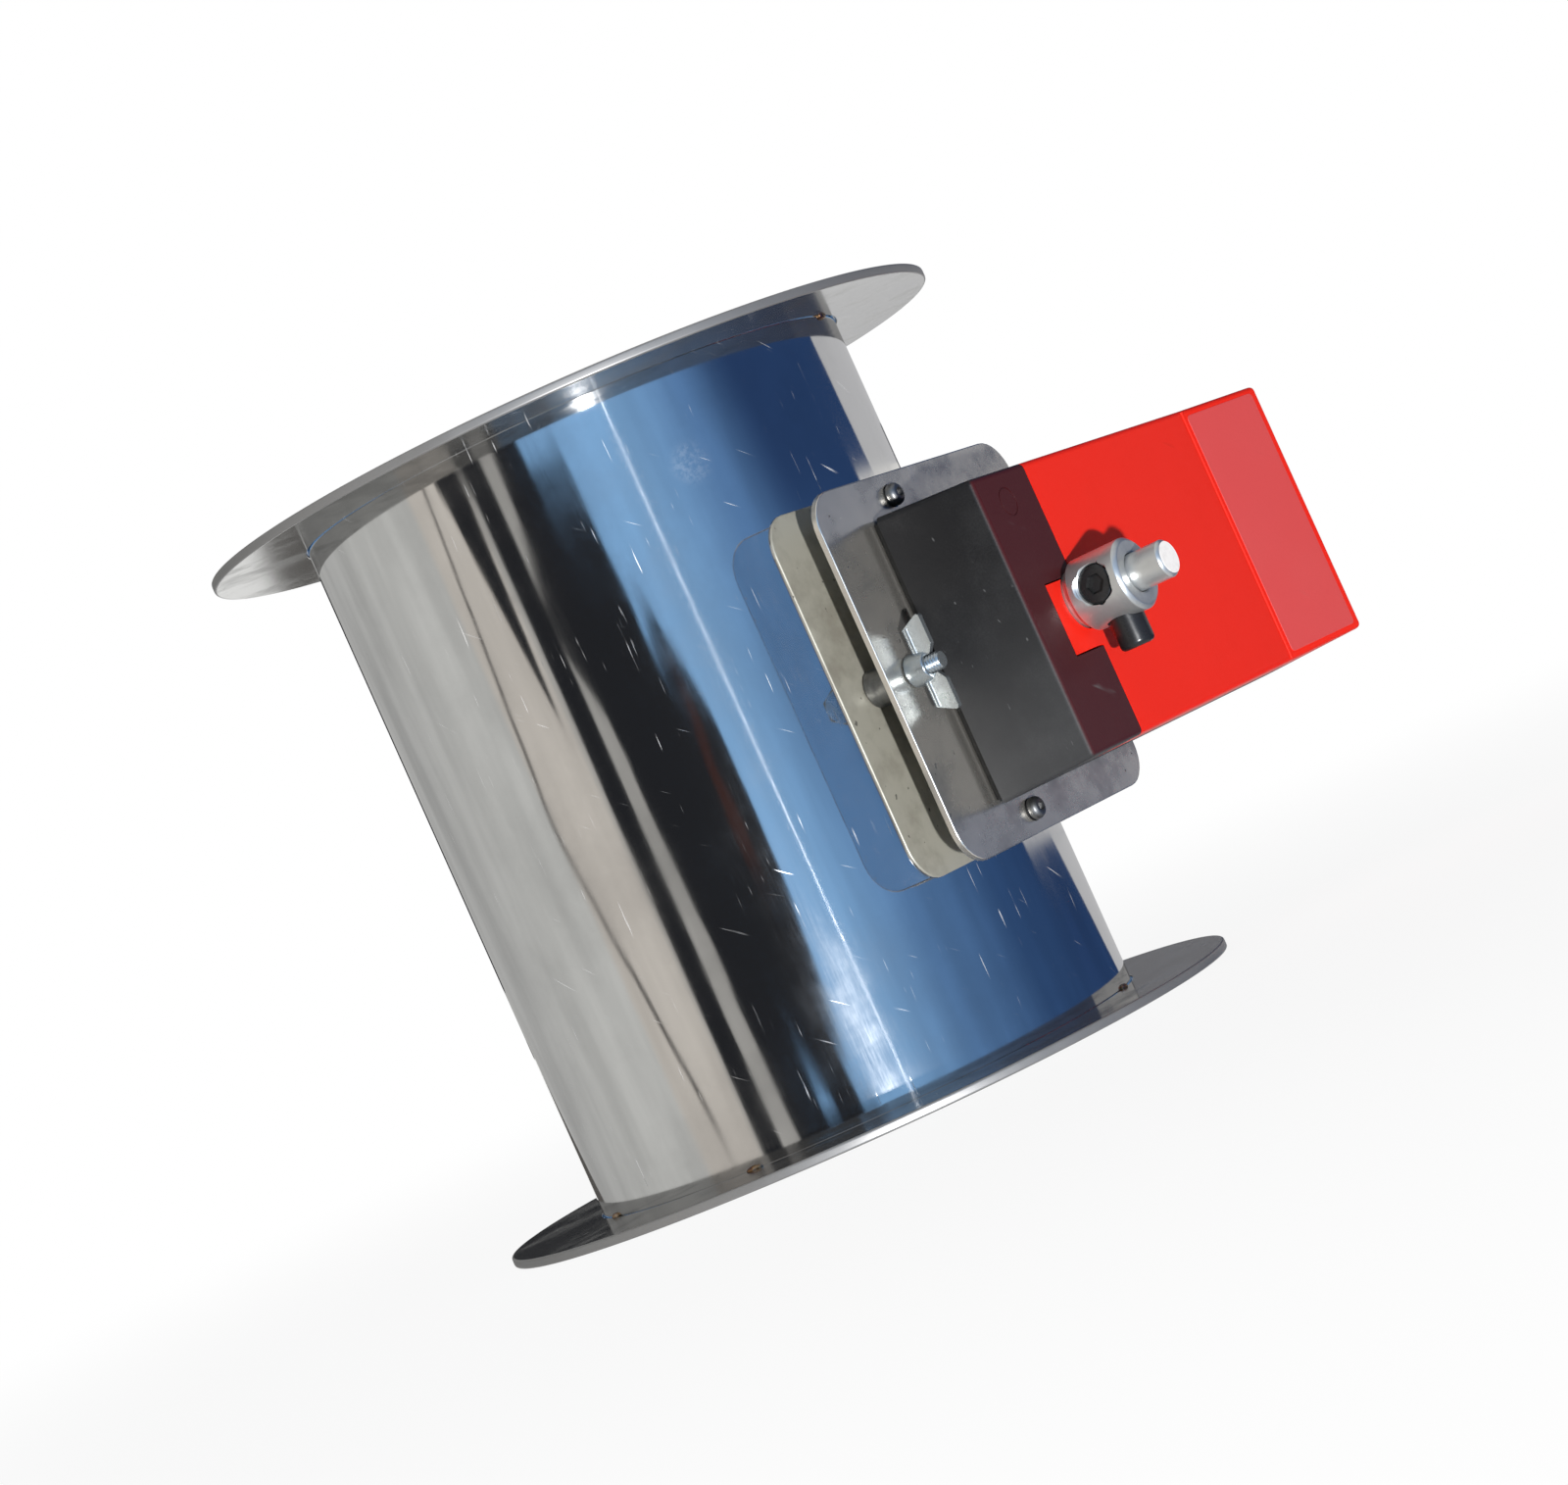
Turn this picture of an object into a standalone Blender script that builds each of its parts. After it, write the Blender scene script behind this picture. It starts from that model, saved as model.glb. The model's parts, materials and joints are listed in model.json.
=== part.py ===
"""Round stainless steel duct damper with a direct-coupled electric actuator.

The duct stands upright on its lower flange. Its shaft runs along X at half height and
carries the blade inside the duct and the clamp hub of the actuator outside it. Every
piece of the drive is placed from the shaft axis: x is the distance from the duct axis
along the shaft, y runs along the length of the actuator, z is up.
"""

import math

import bmesh
import bpy
from mathutils import Matrix, Vector

# Clearances
SEAT = 0.0003  # between pieces that touch or are joined
RUNNING = 0.0001  # radial clearance of a shaft or axle in its bearing
FUSE = 0.0002  # how far solids reach into each other where they are one piece

# Facets round a circle
DUCT_SEGMENTS = 64
HUB_SEGMENTS = 28
ROUND_SEGMENTS = 20
SMALL_SEGMENTS = 16
SCREW_SEGMENTS = 12

# Duct
DUCT_LENGTH = 0.160
TUBE_RADIUS = 0.0625
TUBE_WALL = 0.0010
FLANGE_RADIUS = 0.08425
FLANGE_THICKNESS = 0.0020

# Shaft and blade
SHAFT_RADIUS = 0.0040
SHAFT_OVER_HUB = 0.0092  # the shaft end stands out of the hub by this much
SHAFT_TAIL = 0.0030  # the shaft end past the idle bearing
SHAFT_CHAMFER = 0.0005
BLADE_THICKNESS = 0.0015
BLADE_GAP = 0.0009  # between the blade's rim and the tube
BLADE_FLAT_DEPTH = 0.0009  # how far the flat on the shaft lies below its axis
BLADE_FLAT_MARGIN = 0.0040  # round length left at each end of the flat
BLADE_SCREW_COUNT = 3
BLADE_SCREW_PITCH = 0.0340
BLADE_SCREW_RADIUS = 0.0016
BLADE_SCREW_HEAD = 0.0032
BLADE_SCREW_HEAD_HEIGHT = 0.0020
BLADE_SCREW_GRIP = 0.0022  # depth of thread in the shaft

# Pan head screws, as shares of the head's or the shank's size
CROWN = 0.72
RECESS_RADIUS = 0.85
RECESS_DEPTH = 0.45

# Bearings in the tube wall
BUSH_WALL = 0.0014
BUSH_FLANGE = 0.0012
BOSS_WALL = 0.0015
DRIVE_BOSS_LENGTH = 0.0080
IDLE_BOSS_LENGTH = 0.0085
WASHER_THICKNESS = 0.0008
WASHER_RADIUS = 0.0075
CLIP_THICKNESS = 0.0008
CLIP_RADIUS = 0.0062
CLIP_GROOVE_DEPTH = 0.0008
CLIP_MOUTH = 0.0050

# Stand-off bracket
PLATE_MARGIN = 0.0085  # how far the front plate sticks out beside the housing
PLATE_THICKNESS = 0.0015
PLATE_CORNER = 0.0080
BACK_PLATE_WIDER = 0.0060  # than the front plate, along the actuator
BACK_PLATE_LOWER = 0.0010  # than the front plate, along the duct
BACK_PLATE_THICKNESS = 0.0010
PLATE_CENTRE_HOLE = 0.0075
SPACER_LENGTH = 0.0079
SPACER_RADIUS = 0.0040
BOLT_RADIUS = 0.0020
PLATE_SCREW_Y = -0.0100
PLATE_SCREW_GAP = 0.0006  # between a screw's head and the housing
PLATE_SCREW_HEAD = 0.0029
PLATE_SCREW_HEAD_HEIGHT = 0.0022
PLATE_SCREW_GRIP = 0.0050
WING_BOLT_INSET = 0.0095  # from the plate's edge beside the clamp
LOCATING_STUD_INSET = 0.0070  # from the plate's edge under the motor
BOLT_HEAD_RADIUS = 0.0040
BOLT_HEAD_HEIGHT = 0.0028
BOLT_CHAMFER = 0.0005

# Wing nut
WING_NUT_HEIGHT = 0.0062
WING_HUB_RADIUS = 0.0038
WING_HUB_TOP_RADIUS = 0.0031
WING_SPAN = 0.0210
WING_ROOT_SPAN = 0.0168
WING_THICKNESS = 0.0015
WING_BOLT_PROUD = 0.0012
WING_TIP_CUT = 0.0008  # chamfer at the top of each wing's outer end
WING_STEP = 0.0012  # from the nut's barrel to the top of each wing's inner end
WING_LOW = 0.05  # bottom edge, tip and web of the wings, as shares of the height
WING_TIP = 0.75
WING_WEB = 0.55
WING_NOTCH = 0.8  # the web's half length as a share of the barrel's top radius

# Actuator housing
BODY_CLAMP_END = 0.0225  # from the shaft axis to the end beside the clamp
BODY_FAR_END = 0.1080  # from the shaft axis to the motor end
BODY_CREASE = 0.0759  # from the shaft axis to where the top face starts to rise
BODY_HEIGHT = 0.0244
BODY_RISE = 0.0042  # how much higher the motor end is
BODY_WIDTH = 0.0630
BODY_DRAFT = 0.0015  # how far each side leans in over the height
BODY_EDGE = 0.0012
BODY_WALL = 0.0020
SPLIT_Y = 0.0012  # black top face ends here
SPLIT_HEIGHT = 0.0115  # height of the black side walls under the cover
TONGUE_LENGTH = 0.0115  # the cover's tongue reaches this far round the hub
TONGUE_WIDTH = 0.0205
COVER_SCREW_NEAR = 0.0090
COVER_SCREW_FAR = 0.0990
COVER_SCREW_INSET = 0.0060
COVER_SCREW_RADIUS = 0.0013
COVER_SCREW_HEAD = 0.0024
COVER_SCREW_HEAD_HEIGHT = 0.0012
COVER_SCREW_LENGTH = 0.0160
POST_RADIUS = 0.0030

# Clamp hub
HUB_SLEEVE_RADIUS = 0.0062
HUB_RADIUS = 0.0080
HUB_HEIGHT = 0.0116
HUB_LIFT = 0.0014  # from the housing's top face to the wide part of the hub
HUB_CHAMFER = 0.0006
HUB_GROOVE = 0.0004
HUB_RING = 0.0030
SET_SCREW_RADIUS = 0.0038
SET_SCREW_SOCKET = 0.0022
SET_SCREW_SOCKET_DEPTH = 0.0022
SET_SCREW_POINT = 0.6  # the point's radius as a share of the thread's
SET_SCREW_CONE = 0.3  # the cone's height as a share of the thread's radius
LONG_SET_SCREW = 0.0100
SHORT_SET_SCREW = 0.0040
SHORT_SET_SCREW_TURN = math.radians(75)  # from the long one, round the shaft

# Gear train
PRESSURE_ANGLE = math.radians(20)
BACKLASH = 0.00030
ADDENDUM = 0.85  # of the module
DEDENDUM = 1.15
OUTPUT_MODULE = 0.00135
OUTPUT_TEETH = 24
SECOND_PINION_TEETH = 12
SECOND_MODULE = 0.0011
SECOND_TEETH = 24
FIRST_PINION_TEETH = 12
FIRST_MODULE = 0.0011
FIRST_TEETH = 24
MOTOR_PINION_TEETH = 12
GEAR_FACE = 0.0042
GEAR_STEP = 0.0008  # axial gap between the levels of the train
AXLE_RADIUS = 0.0012
AXLE_BOSS_WALL = 0.0014
AXLE_BOSS_HEIGHT = 0.0008
AXLE_PROUD = 0.0006

# Motor, circuit board and cable inlet
MOTOR_RADIUS = 0.0105
MOTOR_EDGE = 0.0006
MOTOR_SHAFT_RADIUS = 0.0010
MOTOR_COLLAR_RADIUS = 0.0040
BOARD_LENGTH = 0.0230
BOARD_WIDTH = 0.0420
BOARD_THICKNESS = 0.0016
BOARD_CENTRE = 0.0880
BOARD_LIFT = 0.0030
TERMINAL_DEPTH = 0.0070
TERMINAL_HEIGHT = 0.0080
TERMINAL_INSET = 0.0010
CAPACITOR_RADIUS = 0.0030
CAPACITOR_HEIGHT = 0.0090
BOARD_FOOT_RADIUS = 0.0015
GLAND_Z = -0.0140
GLAND_BORE = 0.0022
GLAND_WALL = 0.0011
GLAND_FLANGE = 0.0016
GLAND_CHAMFER = 0.0004

# Worked out from the above
SHAFT_HEIGHT = DUCT_LENGTH / 2
TUBE_INNER = TUBE_RADIUS - TUBE_WALL
BLADE_RADIUS = TUBE_INNER - BLADE_GAP
BUSH_INNER = SHAFT_RADIUS + RUNNING
BUSH_OUTER = BUSH_INNER + BUSH_WALL
BOSS_INNER = BUSH_OUTER + SEAT
BOSS_OUTER = BOSS_INNER + BOSS_WALL
BOSS_START = math.sqrt(TUBE_INNER**2 - BOSS_OUTER**2)
BACK_PLATE_X = TUBE_RADIUS + SEAT
SPACER_X = BACK_PLATE_X + BACK_PLATE_THICKNESS + SEAT
FRONT_PLATE_X = SPACER_X + SPACER_LENGTH + SEAT
BODY_X = FRONT_PLATE_X + PLATE_THICKNESS + SEAT
BODY_TOP_X = BODY_X + BODY_HEIGHT
FLOOR_X = BODY_X + BODY_WALL
HUB_X = BODY_TOP_X + HUB_LIFT
HUB_END_X = HUB_X + HUB_HEIGHT
SHAFT_END_X = HUB_END_X + SHAFT_OVER_HUB
IDLE_END_X = BOSS_START + IDLE_BOSS_LENGTH + BUSH_FLANGE + 2 * SEAT
SHAFT_START_X = -(IDLE_END_X + WASHER_THICKNESS + CLIP_THICKNESS + 2 * SEAT + SHAFT_TAIL)
PLATE_SIZE = BODY_WIDTH + 2 * PLATE_MARGIN
PLATE_SCREW_Z = BODY_WIDTH / 2 + PLATE_SCREW_GAP + PLATE_SCREW_HEAD
WING_BOLT_Y = WING_BOLT_INSET - PLATE_SIZE / 2
LOCATING_STUD_Y = PLATE_SIZE / 2 - LOCATING_STUD_INSET
LEVEL_PITCH = GEAR_FACE + GEAR_STEP
LEVELS = [FLOOR_X + AXLE_BOSS_HEIGHT + SEAT + level * LEVEL_PITCH for level in range(3)]
SECOND_AXLE_Y = OUTPUT_MODULE * (OUTPUT_TEETH + SECOND_PINION_TEETH) / 2
FIRST_AXLE_Y = SECOND_AXLE_Y + SECOND_MODULE * (SECOND_TEETH + FIRST_PINION_TEETH) / 2
MOTOR_Y = FIRST_AXLE_Y + FIRST_MODULE * (FIRST_TEETH + MOTOR_PINION_TEETH) / 2

# The model's origin lies under the middle of its bounding box
AXIS_X = -(SHAFT_END_X - FLANGE_RADIUS) / 2
AXIS_Y = -(max(BODY_FAR_END + GLAND_FLANGE, FLANGE_RADIUS) - FLANGE_RADIUS) / 2

ALONG_X = Matrix.Rotation(math.pi / 2, 4, "Y")
ALONG_MINUS_X = Matrix.Rotation(-math.pi / 2, 4, "Y")
ALONG_Y = Matrix.Rotation(-math.pi / 2, 4, "X")


def clear_scene():
    """Remove what the start-up file holds."""
    for item in list(bpy.data.objects):
        bpy.data.objects.remove(item, do_unlink=True)


def make_collection(name):
    """Add a collection to the scene."""
    collection = bpy.data.collections.new(name)
    bpy.context.scene.collection.children.link(collection)
    return collection


def make_material(name, colour, roughness, metallic):
    """Make a Principled material of one colour."""
    material = bpy.data.materials.new(name)
    material.use_nodes = True
    shader = material.node_tree.nodes["Principled BSDF"]
    shader.inputs["Base Color"].default_value = (*colour, 1)
    shader.inputs["Roughness"].default_value = roughness
    shader.inputs["Metallic"].default_value = metallic
    return material


def on_shaft(x, y=0.0, z=0.0):
    """Turn a place measured from the duct axis and the shaft into model coordinates."""
    return Vector((AXIS_X + x, AXIS_Y + y, SHAFT_HEIGHT + z))


class Builder:
    """Adds meshes to the model and cuts them with hidden cutters."""

    def __init__(self):
        self.parts = make_collection("duct_damper")
        self.cutters = make_collection("cutters")

    def add(self, name, mesh, matrix, material=None):
        """Add a mesh as a part, or as a cutter when it has no material."""
        item = bpy.data.objects.new(name, mesh)
        item.matrix_world = matrix
        if material is None:
            item.hide_render = True
            item.display_type = "WIRE"
            self.cutters.objects.link(item)
            return item
        mesh.materials.append(material)
        self.parts.objects.link(item)
        return item

    def combine(self, item, other, operation):
        """Give a part a Boolean modifier with another object."""
        modifier = item.modifiers.new(operation.lower(), "BOOLEAN")
        modifier.operation = operation
        modifier.object = other
        modifier.solver = "EXACT"

    def drill(self, item, radius, start, end, turn=ALONG_X, segments=ROUND_SEGMENTS):
        """Cut a round hole that runs from start to end."""
        length = (end - start).length
        mesh = cylinder_mesh(radius, length, segments)
        place = Matrix.Translation((start + end) / 2) @ turn
        self.combine(item, self.add(item.name + "_hole", mesh, place), "DIFFERENCE")


def finish_mesh(bm, name, smooth_angle=math.radians(35)):
    """Turn a bmesh into a mesh with outward faces, smooth where it is round."""
    bmesh.ops.recalc_face_normals(bm, faces=bm.faces)
    mesh = bpy.data.meshes.new(name)
    bm.to_mesh(mesh)
    bm.free()
    mesh.shade_smooth()
    mesh.set_sharp_from_angle(angle=smooth_angle)
    return mesh


def cylinder_mesh(radius, length, segments=ROUND_SEGMENTS):
    """Make a closed cylinder along Z, centred on its own origin."""
    bm = bmesh.new()
    bmesh.ops.create_cone(
        bm, cap_ends=True, segments=segments, radius1=radius, radius2=radius, depth=length
    )
    return finish_mesh(bm, "cylinder")


def box_mesh(size_x, size_y, size_z):
    """Make a closed box centred on its own origin."""
    bm = bmesh.new()
    bmesh.ops.create_cube(bm, size=1.0)
    bmesh.ops.scale(bm, vec=(size_x, size_y, size_z), verts=bm.verts)
    return finish_mesh(bm, "box")


def turned_mesh(profile, segments=ROUND_SEGMENTS):
    """Turn a closed profile of (radius, height) points round Z."""
    bm = bmesh.new()
    corners = [bm.verts.new((radius, 0, height)) for radius, height in profile]
    edges = [bm.edges.new((a, b)) for a, b in zip(corners, corners[1:])]
    closed = profile[0][0] > 0 and profile[-1][0] > 0
    if closed:
        edges.append(bm.edges.new((corners[-1], corners[0])))
    bmesh.ops.spin(
        bm, geom=corners + edges, angle=2 * math.pi, steps=segments, axis=(0, 0, 1),
        cent=(0, 0, 0), use_merge=True,
    )
    bmesh.ops.remove_doubles(bm, verts=bm.verts, dist=1e-6)
    return finish_mesh(bm, "turned")


def extruded_mesh(outline, height):
    """Extrude a flat outline along Z."""
    bm = bmesh.new()
    face = bm.faces.new([bm.verts.new((x, y, 0)) for x, y in outline])
    grown = bmesh.ops.extrude_face_region(bm, geom=[face], use_keep_orig=True)
    lifted = [v for v in grown["geom"] if isinstance(v, bmesh.types.BMVert)]
    bmesh.ops.translate(bm, vec=(0, 0, height), verts=lifted)
    return finish_mesh(bm, "extruded")


def circle_outline(radius, segments):
    """Return the points of a circle."""
    steps = [2 * math.pi * i / segments for i in range(segments)]
    return [(radius * math.cos(a), radius * math.sin(a)) for a in steps]


def rounded_outline(width, height, radius, corner_steps=5):
    """Return a rectangle with round corners."""
    points = []
    for index, (side_x, side_y) in enumerate(((1, 1), (-1, 1), (-1, -1), (1, -1))):
        centre = (side_x * (width / 2 - radius), side_y * (height / 2 - radius))
        for step in range(corner_steps + 1):
            angle = math.pi / 2 * (index + step / corner_steps)
            points.append((centre[0] + radius * math.cos(angle), centre[1] + radius * math.sin(angle)))
    return points


def ring_profile(inner, outer, start, end):
    """Return the section of a plain ring."""
    return [(inner, start), (outer, start), (outer, end), (inner, end)]


def involute_point(base_radius, radius):
    """Return the polar angle of an involute at a radius."""
    pressure = math.acos(base_radius / radius)
    return math.tan(pressure) - pressure


def gear_outline(teeth, module, phase=0.0):
    """Return the outline of an involute spur gear with one tooth centred on phase."""
    pitch = module * teeth / 2
    base = pitch * math.cos(PRESSURE_ANGLE)
    tip = pitch + ADDENDUM * module
    root = pitch - DEDENDUM * module
    half = (math.pi * module - BACKLASH) / (4 * pitch) + involute_point(base, pitch)
    middle = (max(base, root) + tip) / 2
    flank = [(root, 0.0), (middle, involute_point(base, middle)), (tip, involute_point(base, tip))]
    points = []
    for tooth in range(teeth):
        centre = phase + 2 * math.pi * tooth / teeth
        points += [(centre - half + lean, radius) for radius, lean in flank]
        points += [(centre + half - lean, radius) for radius, lean in reversed(flank)]
    return [(radius * math.cos(angle), radius * math.sin(angle)) for angle, radius in points]


def build_duct(builder, steel):
    """Tube with its two bearing holes, and a flat ring flange at each end."""
    centre = Matrix.Translation((AXIS_X, AXIS_Y, 0))
    profile = ring_profile(TUBE_INNER, TUBE_RADIUS, 0, DUCT_LENGTH)
    tube = builder.add("duct_tube", turned_mesh(profile, DUCT_SEGMENTS), centre, steel)
    hole = BOSS_OUTER + SEAT
    reach = TUBE_RADIUS + 2 * TUBE_WALL
    builder.drill(tube, hole, on_shaft(-reach), on_shaft(-TUBE_INNER / 2))
    builder.drill(tube, hole, on_shaft(TUBE_INNER / 2), on_shaft(reach))
    for name, start in (("flange_bottom", 0), ("flange_top", DUCT_LENGTH - FLANGE_THICKNESS)):
        ring = ring_profile(TUBE_RADIUS + SEAT, FLANGE_RADIUS, start, start + FLANGE_THICKNESS)
        builder.add(name, turned_mesh(ring, DUCT_SEGMENTS), centre, steel)


def build_bearings(builder, steel, bronze):
    """Welded boss and flanged bush on each side of the duct."""
    sides = (
        ("drive", 1, DRIVE_BOSS_LENGTH, ALONG_X),
        ("idle", -1, IDLE_BOSS_LENGTH, ALONG_MINUS_X),
    )
    for name, side, length, turn in sides:
        place = Matrix.Translation(on_shaft(side * BOSS_START)) @ turn
        boss = turned_mesh(ring_profile(BOSS_INNER, BOSS_OUTER, 0, length))
        builder.add(name + "_boss", boss, place, steel)
        flange = length + SEAT
        bush = [
            (BUSH_INNER, 0),
            (BUSH_OUTER, 0),
            (BUSH_OUTER, flange),
            (BOSS_OUTER, flange),
            (BOSS_OUTER, flange + BUSH_FLANGE),
            (BUSH_INNER, flange + BUSH_FLANGE),
        ]
        builder.add(name + "_bush", turned_mesh(bush), place, bronze)


def shaft_profile():
    """Return half the shaft's section, with chamfered ends and the clip groove."""
    length = SHAFT_END_X - SHAFT_START_X
    groove_end = SHAFT_TAIL + CLIP_THICKNESS + 2 * SEAT
    groove_start = SHAFT_TAIL
    groove = SHAFT_RADIUS - CLIP_GROOVE_DEPTH
    return [
        (0, 0),
        (SHAFT_RADIUS - SHAFT_CHAMFER, 0),
        (SHAFT_RADIUS, SHAFT_CHAMFER),
        (SHAFT_RADIUS, groove_start),
        (groove, groove_start),
        (groove, groove_end),
        (SHAFT_RADIUS, groove_end),
        (SHAFT_RADIUS, length - SHAFT_CHAMFER),
        (SHAFT_RADIUS - SHAFT_CHAMFER, length),
        (0, length),
    ]


def blade_screw_places():
    """Return the x of each blade screw, in a row about the duct's axis."""
    first = -(BLADE_SCREW_COUNT - 1) / 2 * BLADE_SCREW_PITCH
    return [first + i * BLADE_SCREW_PITCH for i in range(BLADE_SCREW_COUNT)]


def build_shaft(builder, steel):
    """Round bar with a milled flat that the blade lies on."""
    place = Matrix.Translation(on_shaft(SHAFT_START_X)) @ ALONG_X
    shaft = builder.add("damper_shaft", turned_mesh(shaft_profile()), place, steel)
    flat_half = BOSS_START - BLADE_FLAT_MARGIN
    depth = SHAFT_RADIUS + BLADE_FLAT_DEPTH
    mill = box_mesh(2 * flat_half, 2 * depth, 4 * SHAFT_RADIUS)
    mill_place = Matrix.Translation(on_shaft(0, depth - BLADE_FLAT_DEPTH))
    builder.combine(shaft, builder.add("shaft_flat", mill, mill_place), "DIFFERENCE")
    for x in blade_screw_places():
        start = on_shaft(x, -BLADE_FLAT_DEPTH - BLADE_SCREW_GRIP - SEAT)
        end = on_shaft(x, SHAFT_RADIUS)
        builder.drill(shaft, BLADE_SCREW_RADIUS + SEAT, start, end, ALONG_Y, SCREW_SEGMENTS)


def build_blade(builder, blade_steel, screw_steel):
    """Disc blade, open at rest, and the screws that hold it on the flat."""
    back = SEAT - BLADE_FLAT_DEPTH
    disc = cylinder_mesh(BLADE_RADIUS, BLADE_THICKNESS, DUCT_SEGMENTS)
    place = Matrix.Translation(on_shaft(0, back + BLADE_THICKNESS / 2)) @ ALONG_Y
    blade = builder.add("damper_blade", disc, place, blade_steel)
    slot_width = 2 * (SHAFT_RADIUS + SEAT)
    slot_depth = BLADE_RADIUS - (BOSS_START - BLADE_FLAT_MARGIN) + SEAT
    for side in (-1, 1):
        slot = box_mesh(2 * slot_depth, 4 * BLADE_THICKNESS, slot_width)
        cutter = builder.add("blade_slot", slot, Matrix.Translation(on_shaft(side * BLADE_RADIUS)))
        builder.combine(blade, cutter, "DIFFERENCE")
    front = back + BLADE_THICKNESS
    for index, x in enumerate(blade_screw_places(), start=1):
        hole = BLADE_SCREW_RADIUS + SEAT
        start, end = on_shaft(x, back - SEAT), on_shaft(x, front + SEAT)
        builder.drill(blade, hole, start, end, ALONG_Y, SCREW_SEGMENTS)
        shank = BLADE_THICKNESS + 2 * SEAT + BLADE_SCREW_GRIP
        head = pan_screw_mesh(BLADE_SCREW_RADIUS, shank, BLADE_SCREW_HEAD, BLADE_SCREW_HEAD_HEIGHT)
        seat = Matrix.Translation(on_shaft(x, front + SEAT)) @ ALONG_Y
        builder.add("blade_screw_%d" % index, head, seat, screw_steel)


def pan_screw_mesh(radius, shank, head_radius, head_height):
    """Screw along Z with its head above the origin and a recess in its crown."""
    crown = head_radius * CROWN
    socket = radius * RECESS_RADIUS
    depth = head_height * RECESS_DEPTH
    profile = [
        (0, -shank),
        (radius, -shank),
        (radius, 0),
        (head_radius, 0),
        (head_radius, head_height - depth),
        (crown, head_height),
        (socket, head_height),
        (0, head_height - depth),
    ]
    return turned_mesh(profile, SCREW_SEGMENTS)


def build_shaft_retainer(builder, steel, spring_steel):
    """Washer and snap ring outside the idle bearing."""
    washer_x = -(IDLE_END_X)
    place = Matrix.Translation(on_shaft(washer_x)) @ ALONG_MINUS_X
    washer = turned_mesh(ring_profile(SHAFT_RADIUS + SEAT, WASHER_RADIUS, 0, WASHER_THICKNESS))
    builder.add("shaft_washer", washer, place, steel)
    clip_x = washer_x - WASHER_THICKNESS - SEAT
    inner = SHAFT_RADIUS - CLIP_GROOVE_DEPTH + SEAT
    ring = turned_mesh(ring_profile(inner, CLIP_RADIUS, 0, CLIP_THICKNESS))
    clip_place = Matrix.Translation(on_shaft(clip_x)) @ ALONG_MINUS_X
    clip = builder.add("shaft_snap_ring", ring, clip_place, spring_steel)
    mouth = box_mesh(4 * CLIP_THICKNESS, CLIP_MOUTH, 2 * CLIP_RADIUS)
    mouth_place = Matrix.Translation(on_shaft(clip_x, 0, -CLIP_RADIUS))
    builder.combine(clip, builder.add("clip_mouth", mouth, mouth_place), "DIFFERENCE")


def support_places():
    """Return name, y and z of the four spacers between the plates."""
    return (
        ("top", PLATE_SCREW_Y, PLATE_SCREW_Z),
        ("bottom", PLATE_SCREW_Y, -PLATE_SCREW_Z),
        ("wing", WING_BOLT_Y, 0.0),
        ("stud", LOCATING_STUD_Y, 0.0),
    )


def build_plate(builder, name, x, thickness, width, height, centre_hole, material):
    """Flat plate with round corners, a centre hole and four bolt holes."""
    outline = rounded_outline(height, width, PLATE_CORNER)
    mesh = extruded_mesh(outline, thickness)
    plate = builder.add(name, mesh, Matrix.Translation(on_shaft(x)) @ ALONG_X, material)
    back, front = x - thickness, x + 2 * thickness
    builder.drill(plate, centre_hole, on_shaft(back), on_shaft(front))
    for _, y, z in support_places():
        start, end = on_shaft(back, y, z), on_shaft(front, y, z)
        builder.drill(plate, BOLT_RADIUS + SEAT, start, end, segments=SMALL_SEGMENTS)


def build_bracket(builder, steel, zinc):
    """Two parallel plates, four spacers and the screws that hold them."""
    build_plate(
        builder, "bracket_back_plate", BACK_PLATE_X, BACK_PLATE_THICKNESS,
        PLATE_SIZE + BACK_PLATE_WIDER, PLATE_SIZE - BACK_PLATE_LOWER, BOSS_OUTER + SEAT, steel,
    )
    build_plate(
        builder, "bracket_front_plate", FRONT_PLATE_X, PLATE_THICKNESS, PLATE_SIZE, PLATE_SIZE,
        PLATE_CENTRE_HOLE, steel,
    )
    section = ring_profile(BOLT_RADIUS + SEAT, SPACER_RADIUS, 0, SPACER_LENGTH)
    spacer = turned_mesh(section, SMALL_SEGMENTS)
    for name, y, z in support_places():
        place = Matrix.Translation(on_shaft(SPACER_X, y, z)) @ ALONG_X
        builder.add("spacer_" + name, spacer.copy(), place, zinc)
    seat_x = FRONT_PLATE_X + PLATE_THICKNESS + SEAT
    shank = PLATE_THICKNESS + 2 * SEAT + PLATE_SCREW_GRIP
    for name, y, z in support_places()[:2]:
        mesh = pan_screw_mesh(BOLT_RADIUS, shank, PLATE_SCREW_HEAD, PLATE_SCREW_HEAD_HEIGHT)
        place = Matrix.Translation(on_shaft(seat_x, y, z)) @ ALONG_X
        builder.add("plate_screw_" + name, mesh, place, zinc)


def headed_bolt(builder, name, y, tip_x, material):
    """Hexagon bolt from behind the back plate out to tip_x."""
    head_x = BACK_PLATE_X - SEAT
    length = tip_x - head_x
    tip = BOLT_RADIUS - BOLT_CHAMFER
    shank = [(0, 0), (BOLT_RADIUS, 0), (BOLT_RADIUS, length - BOLT_CHAMFER), (tip, length), (0, length)]
    place = Matrix.Translation(on_shaft(head_x, y)) @ ALONG_X
    bolt = builder.add(name, turned_mesh(shank, SMALL_SEGMENTS), place, material)
    head = cylinder_mesh(BOLT_HEAD_RADIUS, BOLT_HEAD_HEIGHT, 6)
    place = Matrix.Translation(on_shaft(head_x + FUSE - BOLT_HEAD_HEIGHT / 2, y)) @ ALONG_X
    builder.combine(bolt, builder.add(name + "_head", head, place), "UNION")


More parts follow.
